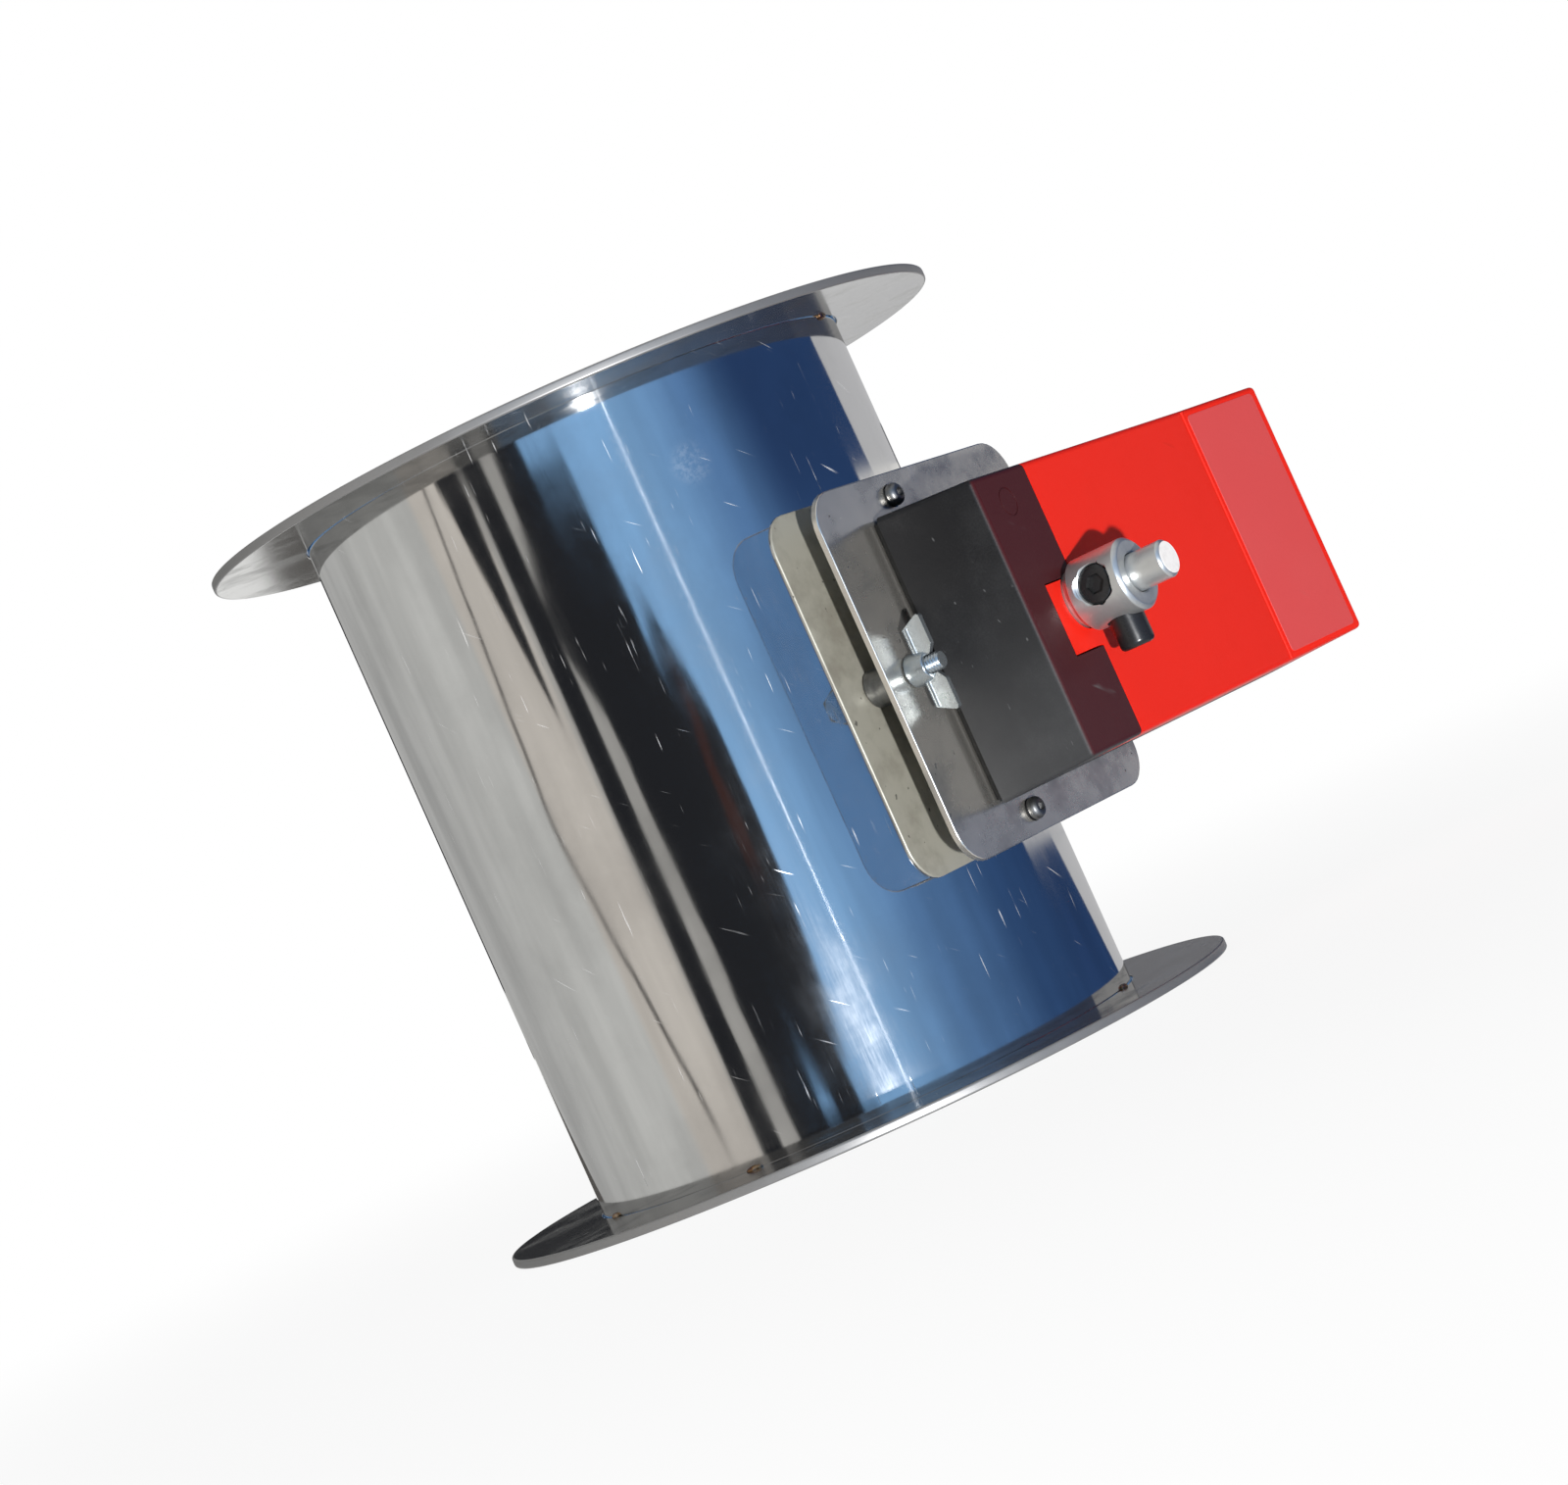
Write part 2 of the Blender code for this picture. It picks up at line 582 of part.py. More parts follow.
def wing_outline():
    """Return both wings and the web between them, seen across the nut."""
    height = WING_NUT_HEIGHT
    half = [
        (WING_ROOT_SPAN / 2, WING_LOW * height),
        (WING_SPAN / 2, WING_TIP * height),
        (WING_SPAN / 2 - WING_TIP_CUT, height),
        (WING_HUB_RADIUS + WING_STEP, height),
        (WING_HUB_TOP_RADIUS * WING_NOTCH, WING_WEB * height),
    ]
    return half + [(-along, up) for along, up in reversed(half)]


def build_wing_nut(builder, zinc):
    """Bolt, and wing nut with its wings upright."""
    nut_x = FRONT_PLATE_X + PLATE_THICKNESS + SEAT
    headed_bolt(builder, "wing_bolt", WING_BOLT_Y, nut_x + WING_NUT_HEIGHT + WING_BOLT_PROUD, zinc)
    hub = [
        (0, 0),
        (WING_HUB_RADIUS, 0),
        (WING_HUB_TOP_RADIUS, WING_NUT_HEIGHT),
        (0, WING_NUT_HEIGHT),
    ]
    place = Matrix.Translation(on_shaft(nut_x, WING_BOLT_Y))
    nut = builder.add("wing_nut", turned_mesh(hub), place @ ALONG_X, zinc)
    # The outline's first axis lies along Z and its second along X
    stand = Matrix(((0, 1, 0), (0, 0, 1), (1, 0, 0))).to_4x4()
    wings = extruded_mesh(wing_outline(), WING_THICKNESS)
    shift = Matrix.Translation((0, -WING_THICKNESS / 2, 0))
    builder.combine(nut, builder.add("wings", wings, place @ shift @ stand), "UNION")
    start = on_shaft(nut_x - SEAT, WING_BOLT_Y)
    end = on_shaft(nut_x + WING_NUT_HEIGHT + SEAT, WING_BOLT_Y)
    builder.drill(nut, BOLT_RADIUS + RUNNING, start, end)


def housing_mesh(inset=0.0):
    """Outer block of the housing, or its inside when inset by a wall.

    The side outline has the clamp end, the flat top, the rising motor end and the far end.
    """
    top = BODY_HEIGHT - inset
    far_top = BODY_HEIGHT + BODY_RISE - inset
    lean = BODY_DRAFT
    side = [
        (inset, -BODY_CLAMP_END + inset),
        (top, -BODY_CLAMP_END + inset + lean),
        (top, BODY_CREASE),
        (far_top, BODY_FAR_END - inset - lean),
        (inset, BODY_FAR_END - inset),
    ]
    bm = bmesh.new()
    rows = []
    for sign in (-1, 1):
        half = [sign * (BODY_WIDTH / 2 - inset - lean * x / BODY_HEIGHT) for x, _ in side]
        rows.append([bm.verts.new((x, y, z)) for (x, y), z in zip(side, half)])
    for i in range(len(side)):
        bm.faces.new((rows[0][i - 1], rows[0][i], rows[1][i], rows[1][i - 1]))
    for row in rows:
        bm.faces.new(row)
    edge = max(BODY_EDGE - inset / 4, BODY_EDGE / 2)
    sharp = [e for e in bm.edges if e.calc_face_angle(0) > math.radians(30)]
    bmesh.ops.bevel(bm, geom=sharp, offset=edge, segments=2, affect="EDGES", profile=0.5)
    return finish_mesh(bm, "housing")


def housing_place():
    """Return the frame of the housing: its underside on the shaft axis."""
    return Matrix.Translation(on_shaft(BODY_X))


def cover_region(builder, grow):
    """Space that belongs to the cover: all above the split, and the tongue."""
    depth = 2 * BODY_WIDTH
    length = BODY_FAR_END
    low = SPLIT_HEIGHT - grow
    lid = box_mesh(depth, length, depth)
    lid_place = Matrix.Translation(on_shaft(BODY_X + low + depth / 2, SPLIT_Y - grow + length / 2))
    region = builder.add("cover_space", lid, lid_place)
    tongue_low = BODY_HEIGHT - BODY_WALL - grow
    reach = TONGUE_LENGTH + grow + SEAT
    tongue = box_mesh(depth, 2 * reach, TONGUE_WIDTH + 2 * grow)
    tongue_place = Matrix.Translation(on_shaft(BODY_X + tongue_low + depth / 2, SPLIT_Y))
    builder.combine(region, builder.add("tongue_space", tongue, tongue_place), "UNION")
    return region


def cover_screw_places():
    """Return y and z of the four cover screws."""
    z = BODY_WIDTH / 2 - COVER_SCREW_INSET
    return [(y, side * z) for y in (COVER_SCREW_NEAR, COVER_SCREW_FAR) for side in (-1, 1)]


def build_base(builder, plastic):
    """Black shell: floor, side walls and the closed end beside the clamp."""
    base = builder.add("actuator_base", housing_mesh(), housing_place(), plastic)
    inside = builder.add("base_cavity", housing_mesh(BODY_WALL), housing_place())
    builder.combine(base, inside, "DIFFERENCE")
    builder.combine(base, cover_region(builder, SEAT), "DIFFERENCE")
    floor_end = FLOOR_X + SEAT
    for y in (SECOND_AXLE_Y, FIRST_AXLE_Y):
        height = AXLE_BOSS_HEIGHT + FUSE
        boss = cylinder_mesh(AXLE_RADIUS + SEAT + AXLE_BOSS_WALL, height, SMALL_SEGMENTS)
        place = Matrix.Translation(on_shaft(FLOOR_X - FUSE + height / 2, y)) @ ALONG_X
        builder.combine(base, builder.add("axle_boss", boss, place), "UNION")
        start, end = on_shaft(FLOOR_X - BODY_WALL / 2, y), on_shaft(FLOOR_X + BODY_WALL, y)
        builder.drill(base, AXLE_RADIUS + SEAT, start, end, segments=SCREW_SEGMENTS)
    builder.drill(base, HUB_SLEEVE_RADIUS + SEAT, on_shaft(BODY_X - SEAT), on_shaft(floor_end))
    builder.drill(
        base, BOLT_RADIUS + SEAT, on_shaft(BODY_X - SEAT, LOCATING_STUD_Y),
        on_shaft(floor_end, LOCATING_STUD_Y), segments=SMALL_SEGMENTS,
    )
    for y, z in cover_screw_places():
        start = on_shaft(BODY_X - SEAT, y, z)
        through = on_shaft(floor_end, y, z)
        builder.drill(base, COVER_SCREW_RADIUS + SEAT, start, through, segments=SCREW_SEGMENTS)
        sunk = on_shaft(BODY_X + COVER_SCREW_HEAD_HEIGHT + SEAT, y, z)
        builder.drill(base, COVER_SCREW_HEAD + SEAT, start, sunk, segments=SCREW_SEGMENTS)
    gland_hole = GLAND_BORE + GLAND_WALL + SEAT
    start = on_shaft(gland_x(), BODY_FAR_END - 2 * BODY_WALL, GLAND_Z)
    end = on_shaft(gland_x(), BODY_FAR_END + BODY_WALL, GLAND_Z)
    builder.drill(base, gland_hole, start, end, ALONG_Y, SMALL_SEGMENTS)


def build_cover(builder, plastic):
    """Red shell with four screw posts under it."""
    cover = builder.add("actuator_cover", housing_mesh(), housing_place(), plastic)
    builder.combine(cover, cover_region(builder, 0.0), "INTERSECT")
    inside = builder.add("cover_cavity", housing_mesh(BODY_WALL), housing_place())
    builder.combine(cover, inside, "DIFFERENCE")
    hole = HUB_SLEEVE_RADIUS + SEAT
    builder.drill(cover, hole, on_shaft(BODY_TOP_X - 2 * BODY_WALL), on_shaft(HUB_X))
    for y, z in cover_screw_places():
        start = FLOOR_X + SEAT
        end = BODY_TOP_X - BODY_WALL / 2
        post = cylinder_mesh(POST_RADIUS, end - start, SCREW_SEGMENTS)
        place = Matrix.Translation(on_shaft((start + end) / 2, y, z)) @ ALONG_X
        builder.combine(cover, builder.add("post", post, place), "UNION")
        low = on_shaft(start - SEAT, y, z)
        tip = on_shaft(BODY_X + COVER_SCREW_HEAD_HEIGHT + COVER_SCREW_LENGTH + SEAT, y, z)
        builder.drill(cover, COVER_SCREW_RADIUS + SEAT, low, tip, segments=SCREW_SEGMENTS)


def build_cover_screws(builder, steel):
    """Four screws from under the base into the cover's posts."""
    head_top = BODY_X + COVER_SCREW_HEAD_HEIGHT
    for index, (y, z) in enumerate(cover_screw_places(), start=1):
        mesh = pan_screw_mesh(
            COVER_SCREW_RADIUS, COVER_SCREW_LENGTH - SEAT, COVER_SCREW_HEAD, COVER_SCREW_HEAD_HEIGHT,
        )
        place = Matrix.Translation(on_shaft(head_top, y, z)) @ ALONG_MINUS_X
        builder.add("cover_screw_%d" % index, mesh, place, steel)


def build_hub(builder, zinc, black_steel):
    """Clamp hub on the shaft, with its long and short set screws."""
    start = BODY_X + SEAT
    sleeve = HUB_X - start
    top = HUB_END_X - start
    ring = top - HUB_RING
    bore = SHAFT_RADIUS + SEAT
    profile = [
        (bore, 0),
        (HUB_SLEEVE_RADIUS, 0),
        (HUB_SLEEVE_RADIUS, sleeve),
        (HUB_RADIUS - HUB_CHAMFER, sleeve),
        (HUB_RADIUS, sleeve + HUB_CHAMFER),
        (HUB_RADIUS, ring - HUB_GROOVE),
        (HUB_RADIUS - HUB_GROOVE, ring - HUB_GROOVE),
        (HUB_RADIUS - HUB_GROOVE, ring),
        (HUB_RADIUS, ring),
        (HUB_RADIUS, top - HUB_CHAMFER),
        (HUB_RADIUS - HUB_CHAMFER, top),
        (bore, top),
    ]
    place = Matrix.Translation(on_shaft(start)) @ ALONG_X
    hub = builder.add("clamp_hub", turned_mesh(profile, HUB_SEGMENTS), place, zinc)
    screw_x = HUB_X + HUB_HEIGHT / 2
    screws = (("long", LONG_SET_SCREW, 0.0), ("short", SHORT_SET_SCREW, SHORT_SET_SCREW_TURN))
    for name, length, angle in screws:
        out = Matrix.Rotation(-angle, 4, "X") @ Vector((0, 0, -1))
        centre = on_shaft(screw_x)
        turn = out.to_track_quat("Z", "Y").to_matrix().to_4x4()
        tip = centre + out * (SHAFT_RADIUS + SEAT)
        builder.drill(hub, SET_SCREW_RADIUS + SEAT, centre, centre + out * 2 * HUB_RADIUS, turn)
        mesh = set_screw_mesh(length)
        builder.add("set_screw_" + name, mesh, Matrix.Translation(tip) @ turn, black_steel)


def set_screw_mesh(length):
    """Headless screw along Z with a cone point and a hexagonal socket."""
    radius = SET_SCREW_RADIUS
    bm = bmesh.new()
    sections = [
        (radius * SET_SCREW_POINT, 0),
        (radius, radius * SET_SCREW_CONE),
        (radius, length),
    ]
    rings = []
    for size, height in sections:
        outline = circle_outline(size, ROUND_SEGMENTS)
        rings.append([bm.verts.new((x, y, height)) for x, y in outline])
    for low, high in zip(rings, rings[1:]):
        for i in range(ROUND_SEGMENTS):
            bm.faces.new((low[i - 1], low[i], high[i], high[i - 1]))
    bm.faces.new(rings[0][::-1])
    depth = min(SET_SCREW_SOCKET_DEPTH, length / 2)
    rim = [bm.verts.new((x, y, length)) for x, y in circle_outline(SET_SCREW_SOCKET, 6)]
    foot = [bm.verts.new((x, y, length - depth)) for x, y in circle_outline(SET_SCREW_SOCKET, 6)]
    edges = [bm.edges.get((rings[-1][i - 1], rings[-1][i])) for i in range(ROUND_SEGMENTS)]
    edges += [bm.edges.new((rim[i - 1], rim[i])) for i in range(6)]
    bmesh.ops.triangle_fill(bm, edges=edges, use_beauty=True)
    for i in range(6):
        bm.faces.new((rim[i - 1], rim[i], foot[i], foot[i - 1]))
    bm.faces.new(foot)
    return finish_mesh(bm, "set_screw")


def build_gear(builder, name, stages, bore, y, material):
    """Compound gear: each stage is level, teeth, module and phase, and they overlap a little."""
    stages = sorted(stages)
    low = LEVELS[stages[0][0]]
    high = LEVELS[stages[-1][0]] + GEAR_FACE
    core_radius = min(module * (teeth / 2 - DEDENDUM) for _, teeth, module, _ in stages) - FUSE
    core = cylinder_mesh(core_radius, high - low, SMALL_SEGMENTS)
    place = Matrix.Translation(on_shaft((low + high) / 2, y)) @ ALONG_X
    gear = builder.add(name, core, place, material)
    for level, teeth, module, phase in stages:
        mesh = extruded_mesh(gear_outline(teeth, module, phase), GEAR_FACE)
        # The outline's first axis lies along Y and its second along Z
        stand = Matrix(((0, 0, 1), (1, 0, 0), (0, 1, 0))).to_4x4()
        stage_place = Matrix.Translation(on_shaft(LEVELS[level], y)) @ stand
        builder.combine(gear, builder.add(name + "_stage", mesh, stage_place), "UNION")
    start, end = on_shaft(low - SEAT, y), on_shaft(high + SEAT, y)
    builder.drill(gear, bore, start, end, segments=SMALL_SEGMENTS)


def mesh_phase(teeth):
    """Return the phase that puts a tooth gap towards minus Y."""
    return math.pi + math.pi / teeth


def build_gear_train(builder, plastic, brass, steel):
    """Output gear on the hub, two compound gears on axles and the motor pinion."""
    sleeve = HUB_SLEEVE_RADIUS + SEAT
    build_gear(builder, "output_gear", [(0, OUTPUT_TEETH, OUTPUT_MODULE, 0.0)], sleeve, 0.0, brass)
    axle = AXLE_RADIUS + RUNNING
    second = [
        (0, SECOND_PINION_TEETH, OUTPUT_MODULE, mesh_phase(SECOND_PINION_TEETH)),
        (1, SECOND_TEETH, SECOND_MODULE, 0.0),
    ]
    build_gear(builder, "second_gear", second, axle, SECOND_AXLE_Y, plastic)
    first = [
        (1, FIRST_PINION_TEETH, SECOND_MODULE, mesh_phase(FIRST_PINION_TEETH)),
        (2, FIRST_TEETH, FIRST_MODULE, 0.0),
    ]
    build_gear(builder, "first_gear", first, axle, FIRST_AXLE_Y, plastic)
    motor = [(2, MOTOR_PINION_TEETH, FIRST_MODULE, mesh_phase(MOTOR_PINION_TEETH))]
    build_gear(builder, "motor_pinion", motor, MOTOR_SHAFT_RADIUS + SEAT, MOTOR_Y, brass)
    foot = FLOOR_X - BODY_WALL / 2 + SEAT
    pins = (
        ("second_axle", SECOND_AXLE_Y, foot, LEVELS[1] + GEAR_FACE + GEAR_STEP / 2, AXLE_RADIUS),
        ("first_axle", FIRST_AXLE_Y, foot, LEVELS[2] + GEAR_FACE + AXLE_PROUD, AXLE_RADIUS),
        ("motor_shaft", MOTOR_Y, LEVELS[1], LEVELS[2] + GEAR_FACE + AXLE_PROUD, MOTOR_SHAFT_RADIUS),
    )
    for name, y, start, end, radius in pins:
        pin = cylinder_mesh(radius, end - start, SMALL_SEGMENTS)
        builder.add(name, pin, Matrix.Translation(on_shaft((start + end) / 2, y)) @ ALONG_X, steel)


def build_motor(builder, steel):
    """Flat tin-can motor with the collar that its shaft runs in."""
    start = FLOOR_X + SEAT
    can = LEVELS[2] - GEAR_STEP - start
    collar = can + GEAR_STEP / 2
    bore = MOTOR_SHAFT_RADIUS + RUNNING
    well = LEVELS[1] - SEAT - start
    edge = MOTOR_EDGE
    profile = [
        (0, 0),
        (MOTOR_RADIUS - edge, 0),
        (MOTOR_RADIUS, edge),
        (MOTOR_RADIUS, can - edge),
        (MOTOR_RADIUS - edge, can),
        (MOTOR_COLLAR_RADIUS, can),
        (MOTOR_COLLAR_RADIUS, collar),
        (bore, collar),
        (bore, well),
        (0, well),
    ]
    place = Matrix.Translation(on_shaft(start, MOTOR_Y)) @ ALONG_X
    builder.add("motor", turned_mesh(profile), place, steel)


def build_board(builder, laminate):
    """Circuit board with its terminal block and two capacitors."""
    low = FLOOR_X + BOARD_LIFT
    top = low + BOARD_THICKNESS
    centre = on_shaft(low + BOARD_THICKNESS / 2, BOARD_CENTRE)
    mesh = box_mesh(BOARD_THICKNESS, BOARD_LENGTH, BOARD_WIDTH)
    board = builder.add("circuit_board", mesh, Matrix.Translation(centre), laminate)
    block = box_mesh(TERMINAL_HEIGHT, TERMINAL_DEPTH, BOARD_WIDTH / 2)
    y = BOARD_CENTRE + BOARD_LENGTH / 2 - TERMINAL_DEPTH / 2 - TERMINAL_INSET
    place = Matrix.Translation(on_shaft(top - FUSE + TERMINAL_HEIGHT / 2, y, GLAND_Z / 2))
    builder.combine(board, builder.add("terminal_block", block, place), "UNION")
    height = CAPACITOR_HEIGHT + FUSE
    for side in (-1, 1):
        can = cylinder_mesh(CAPACITOR_RADIUS, height, SMALL_SEGMENTS)
        z = side * (BOARD_WIDTH / 2 - 1.5 * CAPACITOR_RADIUS)
        y = BOARD_CENTRE - BOARD_LENGTH / 2 + 1.5 * CAPACITOR_RADIUS
        place = Matrix.Translation(on_shaft(top - FUSE + height / 2, y, z)) @ ALONG_X
        builder.combine(board, builder.add("capacitor", can, place), "UNION")
    for z in (-BOARD_WIDTH / 3, BOARD_WIDTH / 3):
        foot_length = BOARD_LIFT - SEAT + FUSE
        foot = cylinder_mesh(BOARD_FOOT_RADIUS, foot_length, SCREW_SEGMENTS)
        x = low + FUSE - foot_length / 2
        place = Matrix.Translation(on_shaft(x, BOARD_CENTRE, z)) @ ALONG_X
        builder.combine(board, builder.add("board_foot", foot, place), "UNION")


def gland_x():
    """Return the x of the cable inlet: the middle of the black end wall above its floor."""
    return BODY_X + (BODY_WALL + SPLIT_HEIGHT) / 2


def build_gland(builder, rubber):
    """Rubber cable inlet with a groove that grips the end wall."""
    neck = GLAND_BORE + GLAND_WALL
    lip = neck + GLAND_WALL
    wall = BODY_WALL + 2 * SEAT
    profile = [
        (GLAND_BORE, 0),
        (lip - GLAND_CHAMFER, 0),
        (lip, GLAND_CHAMFER),
        (lip, GLAND_FLANGE - SEAT),
        (neck, GLAND_FLANGE - SEAT),
        (neck, GLAND_FLANGE + wall),
        (lip, GLAND_FLANGE + wall),
        (lip, 2 * GLAND_FLANGE + wall),
        (GLAND_BORE, 2 * GLAND_FLANGE + wall),
    ]
    out = Matrix.Rotation(math.pi / 2, 4, "X")
    place = Matrix.Translation(on_shaft(gland_x(), BODY_FAR_END + GLAND_FLANGE, GLAND_Z)) @ out
    builder.add("cable_gland", turned_mesh(profile, SMALL_SEGMENTS), place, rubber)


def main():
    """Build the whole damper."""
    clear_scene()
    builder = Builder()
    polished = make_material("polished_stainless", (0.62, 0.63, 0.64), 0.08, 1.0)
    bracket = make_material("bracket_stainless", (0.55, 0.55, 0.56), 0.22, 1.0)
    zinc = make_material("zinc_plated_steel", (0.60, 0.62, 0.64), 0.30, 1.0)
    spring = make_material("spring_steel", (0.16, 0.16, 0.17), 0.40, 1.0)
    black_steel = make_material("black_oxide_steel", (0.02, 0.02, 0.02), 0.45, 0.8)
    bronze = make_material("bearing_bronze", (0.45, 0.30, 0.13), 0.40, 1.0)
    black = make_material("black_plastic", (0.018, 0.018, 0.020), 0.50, 0.0)
    red = make_material("red_plastic", (0.80, 0.030, 0.018), 0.38, 0.0)
    nylon = make_material("white_nylon", (0.75, 0.73, 0.66), 0.45, 0.0)
    brass = make_material("gear_brass", (0.62, 0.44, 0.16), 0.35, 1.0)
    laminate = make_material("board_laminate", (0.03, 0.18, 0.07), 0.50, 0.0)
    rubber = make_material("black_rubber", (0.015, 0.015, 0.015), 0.70, 0.0)
    build_duct(builder, polished)
    build_bearings(builder, polished, bronze)
    build_shaft(builder, zinc)
    build_blade(builder, bracket, zinc)
    build_shaft_retainer(builder, zinc, spring)
    build_bracket(builder, bracket, zinc)
    build_wing_nut(builder, zinc)
    headed_bolt(builder, "locating_stud", LOCATING_STUD_Y, FLOOR_X + SEAT, zinc)
    build_base(builder, black)
    build_cover(builder, red)
    build_cover_screws(builder, zinc)
    build_hub(builder, zinc, black_steel)
    build_gear_train(builder, nylon, brass, zinc)
    build_motor(builder, zinc)
    build_board(builder, laminate)
    build_gland(builder, rubber)


main()
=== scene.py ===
"""Looks of a round stainless steel duct damper with an electric actuator on its shaft.

Lengths are in metres. Places on the drive are measured from the shaft axis: x from the duct
axis along the shaft, y along the actuator, z up from the shaft.
"""

import json
import logging
import math
from dataclasses import dataclass, field
from enum import Enum
from typing import Any, Iterable, Sequence, Union

import bmesh
import bpy
from mathutils import Matrix, Vector

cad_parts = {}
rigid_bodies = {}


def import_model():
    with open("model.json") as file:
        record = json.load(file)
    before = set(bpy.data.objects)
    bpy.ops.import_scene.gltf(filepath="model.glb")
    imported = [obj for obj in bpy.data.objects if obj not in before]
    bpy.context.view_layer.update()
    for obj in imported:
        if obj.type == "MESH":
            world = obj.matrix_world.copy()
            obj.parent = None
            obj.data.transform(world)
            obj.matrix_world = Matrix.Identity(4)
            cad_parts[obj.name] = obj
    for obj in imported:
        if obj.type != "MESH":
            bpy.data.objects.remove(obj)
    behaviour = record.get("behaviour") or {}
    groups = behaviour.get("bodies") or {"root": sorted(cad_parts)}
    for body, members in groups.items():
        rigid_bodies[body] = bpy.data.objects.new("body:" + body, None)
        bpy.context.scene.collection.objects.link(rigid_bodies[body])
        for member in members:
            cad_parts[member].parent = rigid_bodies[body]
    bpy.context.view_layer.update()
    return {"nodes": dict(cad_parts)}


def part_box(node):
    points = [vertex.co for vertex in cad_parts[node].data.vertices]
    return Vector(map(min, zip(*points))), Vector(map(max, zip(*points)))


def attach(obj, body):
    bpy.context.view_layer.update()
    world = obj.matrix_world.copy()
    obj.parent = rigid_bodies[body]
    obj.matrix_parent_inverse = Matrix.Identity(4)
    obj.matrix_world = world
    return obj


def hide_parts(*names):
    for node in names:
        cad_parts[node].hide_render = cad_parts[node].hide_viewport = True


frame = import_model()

LOG = logging.getLogger("duct_damper")

Colour = tuple[float, float, float]
Point2 = tuple[float, float]
Value = Union["Sock", float, Sequence[float]]

TUBE_LOW, TUBE_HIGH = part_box("duct_tube")
AXIS = (TUBE_LOW + TUBE_HIGH) / 2
ALONG_X = Matrix.Rotation(math.pi / 2, 4, "Y")
ALONG_MINUS_X = Matrix.Rotation(-math.pi / 2, 4, "Y")
ALONG_Y = Matrix.Rotation(-math.pi / 2, 4, "X")
SMOOTH_ANGLE = math.radians(36)
SEAT = 0.0003


def on_shaft(x: float, y: float = 0.0, z: float = 0.0) -> Vector:
    """Turn a place measured from the shaft into scene coordinates.

    Args:
        x: Distance from the duct axis along the shaft.
        y: Distance from the shaft along the actuator.
        z: Height above the shaft.

    Returns:
        The place in the scene.
    """
    return AXIS + Vector((x, y, z))


def at(x: float, y: float = 0.0, z: float = 0.0, turn: Matrix = ALONG_X) -> Matrix:
    """Return the matrix that turns a piece and puts its origin at a place on the drive."""
    return Matrix.Translation(on_shaft(x, y, z)) @ turn


# Shader graphs


@dataclass(frozen=True)
class Sock:
    """A node's output, with arithmetic that adds Math nodes."""

    shader: "Shader"
    link: bpy.types.NodeSocket | None

    def math(self, operation: str, *values: Value) -> "Sock":
        """Add a Math node.

        Args:
            operation: The node's operation.
            values: Its inputs, in order.

        Returns:
            The node's output.
        """
        return self.shader.node("Math", {"operation": operation}, dict(enumerate(values)))

    def __add__(self, other: Value) -> "Sock":
        """Add a number or output."""
        return self.math("ADD", self, other)

    __radd__ = __add__

    def __sub__(self, other: Value) -> "Sock":
        """Take a number or output away."""
        return self.math("SUBTRACT", self, other)

    def __rsub__(self, other: Value) -> "Sock":
        """Take this away from a number."""
        return self.math("SUBTRACT", other, self)

    def __mul__(self, other: Value) -> "Sock":
        """Multiply by a number or output."""
        return self.math("MULTIPLY", self, other)

    __rmul__ = __mul__

    def __truediv__(self, other: Value) -> "Sock":
        """Divide by a number or output."""
        return self.math("DIVIDE", self, other)

    def __rtruediv__(self, other: Value) -> "Sock":
        """Divide a number by this."""
        return self.math("DIVIDE", other, self)

    def ramp(self, low: float, high: float, start: float = 0.0, end: float = 1.0) -> "Sock":
        """Rise smoothly from start to end as this goes from low to high.

        Args:
            low: Where the rise begins.
            high: Where it ends.
            start: The result below low.
            end: The result above high.

        Returns:
            The result.
        """
        values = {"Value": self, "From Min": low, "From Max": high, "To Min": start, "To Max": end}
        return self.shader.node("MapRange", {"interpolation_type": "SMOOTHSTEP"}, values)


